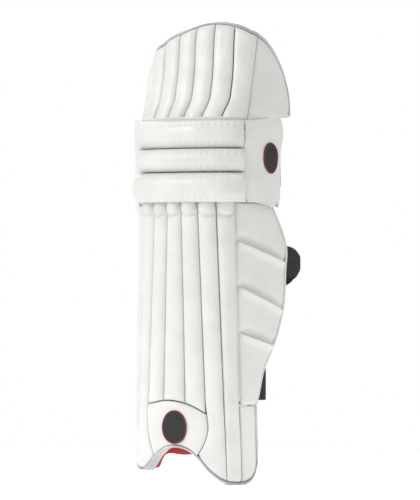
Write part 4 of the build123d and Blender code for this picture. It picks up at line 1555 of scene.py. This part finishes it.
@dataclass
class Strap:
    """One strap: ring, short loop, webbing run and fastening tail."""

    name: str
    height: float
    width: float
    ring: tuple
    loop: tuple
    run: tuple
    share: float
    tail: Body
    body: Body
    finish: str
    thick: float = 2.4
    lift: float = 3.55
    bar: float = 2.0
    pitch: float = 14.0
    branch_x: float = 0.147

    def band(self, name: str, finish: str, path: Array, rise: Array | float, width: float,
             thick: float | None = None, swell: Array | float = 1.0) -> bpy.types.Object:
        """Flat webbing that stands upright along a plan path.

        Args:
            name: the piece's name.
            finish: name of its finish.
            path: plan points in metres.
            rise: height of its middle in millimetres, one value or one a point.
            width: its width in millimetres.
            thick: its thickness in millimetres.
            swell: share of its width along the path.

        Returns:
            The object.
        """
        tall = np.broadcast_to(np.asarray(rise, float) * MM, (len(path),))
        middle = np.concatenate([path, tall[:, None]], axis=1)
        normal = np.concatenate([plan_normal(path), np.zeros((len(path), 1))], axis=1)
        return tube(name, finish, middle, normal, (width / 2, (thick or self.thick) / 2), 36, 0.3,
                    swell=swell)

    def build(self) -> None:
        """Makes the strap's pieces."""
        bar_x, bar_y = self.ring
        second = bar_x - self.pitch
        turn = np.linspace(0, 2 * math.pi, 160, endpoint=False)
        half = (self.width + 12) / 2 - self.bar
        cos, sin = np.cos(turn), np.sin(turn)
        loop_x = bar_x - self.pitch / 2 + self.pitch / 2 * np.sign(cos) * np.abs(cos) ** 0.3
        loop_z = self.height + half * np.sign(sin) * np.abs(sin) ** 0.3
        line = np.stack([loop_x, np.full(160, bar_y), loop_z], -1) * MM
        ring = tube(f"{self.name}_ring_bar", "ring_black", line, np.tile([0.0, 1.0, 0.0], (160, 1)),
                    (self.bar, self.bar), 16, closed=True)
        finish_piece(ring, self.body, "ring_black", f"{self.name}_ring")
        start = (second - (self.bar + 0.3 + self.thick + 0.5), bar_y)
        run_path = route([start, *self.run], 200)
        run = self.band(f"{self.name}_webbing", self.finish, run_path, self.height, self.width)
        finish_piece(run, self.body, "webbing_striped", f"{self.name}_strap")
        kept = run_path[: int(len(run_path) * self.share)]
        offset = kept + plan_normal(kept) * self.lift * MM
        head = route([(second - 0.5, bar_y + self.lift), (offset[12] / MM).tolist()], 10)
        tail_path = np.concatenate([head[:-1], offset[12:]])
        tail = self.band(f"{self.name}_fastening", self.finish, tail_path, self.height, self.width)
        finish_piece(tail, self.tail, "webbing_striped", f"{self.name}_tail")
        middle = (bar_x - 2.6, bar_x - self.pitch + 5.4)
        joint_path = route([(middle[0], bar_y + 2.8), (middle[1], bar_y + 2.8)], 8)
        joint = self.band(f"{self.name}_binding", "binding_red", joint_path, self.height, self.width - 1, 4.4)
        finish_piece(joint, self.body, "red_leather")
        self.short_loop()
        if self.name == "calf":
            self.patch(tail_path)

    def patch(self, tail_path: Array) -> None:
        """Black fastening patch with light bars, over the tail's free half."""
        first = int(len(tail_path) * 0.38)
        path = tail_path[first:] + plan_normal(tail_path[first:]) * (self.thick / 2 + 0.75) * MM
        patch = self.band("calf_tail_print", "patch_black", path, self.height, self.width - 2, 1.4)
        finish_piece(patch, self.tail, "patch_black", "calf_tail_patch")

    def short_loop(self) -> None:
        """Short loops from the pad's outer edge to the ring's first bar."""
        bar_x, bar_y = self.ring
        path = route([*self.loop, (bar_x + 1.0, bar_y + self.lift)], 90)
        share = np.linspace(0, 1, 90)
        if self.name == "calf":
            tip = int(np.argmax(path @ np.array([0.94, 0.34])))
            back = tip + int(np.argmax(path[tip:, 0] < self.branch_x))
            taper = 1 - 0.6 * np.exp(-(((share - share[tip]) / 0.13) ** 2))
            root, branch = slice(back + 6), slice(back, None)
            under = 13 * np.exp(-(share - share[back]) / 0.09)
            bands = (
                ("bulge", "webbing_black", root, 347 - 6 * share, 52, 4.4, taper[root]),
                ("upper", "webbing_branch", branch, 359 - 14 * share, 27),
                ("lower", "webbing_branch", branch, 315 + 6 * share + under, 27),
                ("web", "red_leather", branch, 337 - 4 * share, 30, 1.2),
            )
            pieces = [self.band(f"calf_loop_{which}", finish, path[part], rise[part], *rest)
                      for which, finish, part, rise, *rest in bands]
        else:
            pieces = (self.band(f"{self.name}_loop", "webbing_black", path, self.height, self.width - 2),)
        for piece in pieces:
            if self.body is Body.KNEE:
                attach(piece, self.body.value)
            else:
                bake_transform(piece)
        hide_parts(f"{self.name}_short_loop")


# Studio
@dataclass
class Studio:
    """Floor, lights, background and camera."""

    azimuth: float = 20.0
    distance: float = 6.0
    view_height: float = 0.786
    glow: float = 0.81
    floor_half: float = 1.0
    target: tuple = (0.038, 0.0, 0.366)
    lamps: tuple = (
        ("key", (-2.3, -2.0, 2.2), 1.2, 46.0),
        ("side", (2.6, -1.6, 1.5), 1.6, 3.0),
        ("rear", (-1.2, 2.6, 2.2), 1.4, 42.0),
    )

    def light(self, name: str, place: tuple, size: float, power: float) -> None:
        """A square soft light that faces the pad.

        Args:
            name: the light's name.
            place: where it stands, in metres.
            size: its side in metres.
            power: its power in watts.
        """
        data = bpy.data.lights.new(name, "AREA")
        data.size = size
        data.energy = power
        lamp = bpy.data.objects.new(name, data)
        lamp.location = place
        lamp.rotation_euler = self.facing(place)
        bpy.context.scene.collection.objects.link(lamp)

    def facing(self, place: tuple) -> tuple:
        """Rotation that turns a light or camera from a place towards the pad's middle."""
        x, y, z = (t - p for t, p in zip(self.target, place))
        return (math.atan2(math.hypot(x, y), -z), 0.0, math.atan2(-x, y))

    def build(self) -> None:
        """Makes the studio."""
        ticks = np.linspace(-self.floor_half, self.floor_half, 5)
        x, y = np.meshgrid(ticks, ticks, indexing="ij")
        points = np.stack([x, y, np.zeros_like(x)], -1).reshape(-1, 3)
        below = points - np.array([0, 0, 0.01])
        _, quads = two_sheets(5, 5)
        inner = below.reshape(5, 5, 3)[1:-1, 1:-1].reshape(-1, 3)
        floor = mesh_object("floor", np.concatenate([points, inner]), quads, "floor")
        for lamp in self.lamps:
            self.light(*lamp)
        world = bpy.data.worlds.new("studio")
        world.use_nodes = True
        sky = world.node_tree.nodes["Background"]
        sky.inputs["Color"].default_value = (1.0, 1.0, 1.0, 1.0)
        path = world.node_tree.nodes.new("ShaderNodeLightPath")
        level_of = world.node_tree.nodes.new("ShaderNodeMapRange")
        level_of.inputs["To Min"].default_value = self.glow
        level_of.inputs["To Max"].default_value = 1.0
        world.node_tree.links.new(path.outputs["Is Camera Ray"], level_of.inputs["Value"])
        world.node_tree.links.new(level_of.outputs["Result"], sky.inputs["Strength"])
        bpy.context.scene.world = world
        bpy.context.scene.view_settings.view_transform = "Standard"
        data = bpy.data.cameras.new("camera")
        data.lens = data.sensor_width * self.distance / self.view_height
        camera = bpy.data.objects.new("camera", data)
        turn = math.radians(self.azimuth)
        back = (math.sin(turn) * self.distance, -math.cos(turn) * self.distance, 0.0)
        place = tuple(t + b for t, b in zip(self.target, back))
        camera.location = place
        camera.rotation_euler = self.facing(place)
        bpy.context.scene.collection.objects.link(camera)
        bpy.context.scene.camera = camera


def dress_cad(shown: dict) -> None:
    """Gives each CAD node that stays shown its finish."""
    for node in shown.values():
        if not node.hide_render:
            node.data.materials.clear()
            node.data.materials.append(material("cane"))
            LOG.info("%s stays as the frame has it", node.name)


def main() -> None:
    """Builds the studio and every part of the pad."""
    logging.basicConfig(level=logging.INFO, format="%(name)s: %(message)s")
    Studio().build()
    shin = Shin()
    shin.build()
    shin.join_gusset()
    oval_patch(SHIN, "instep_badge", 3.6, 90.0, level(0.9), (0.5, 25.0), Body.SHIN)
    ShinLiner().build(shin)
    Wing().build()
    Knee().build()
    Flap().build()
    Strap("knee", 481.0, 33.0, (138.0, 22.5), ((146.0, 8.0), (148.5, 17.0)),
          ((60.0, 30.0), (0.0, 34.0), (-50.0, 29.0), (-76.4, 8.0)), 0.75, Body.KNEE_TAIL, Body.KNEE,
          "webbing_knee").build()
    Strap("calf", 331.0, 52.0, (104.0, 64.0), ((146.5, 31.2), (169.0, 49.0), (148.0, 66.5)),
          ((30.0, 69.0), (-25.0, 61.0), (-60.0, 38.0), (-66.0, 15.0)), 0.72, Body.CALF_TAIL, Body.SHIN,
          "webbing_wide").build()
    Strap("ankle", 156.0, 52.0, (101.0, 22.0), ((118.0, 2.0), (125.0, 12.5)),
          ((20.0, 28.0), (-35.0, 30.0), (-60.0, 22.0), (-68.5, 8.0)), 0.7, Body.ANKLE_TAIL, Body.SHIN,
          "webbing_wide").build()
    dress_cad(frame["nodes"])


if __name__ == "__main__":
    main()
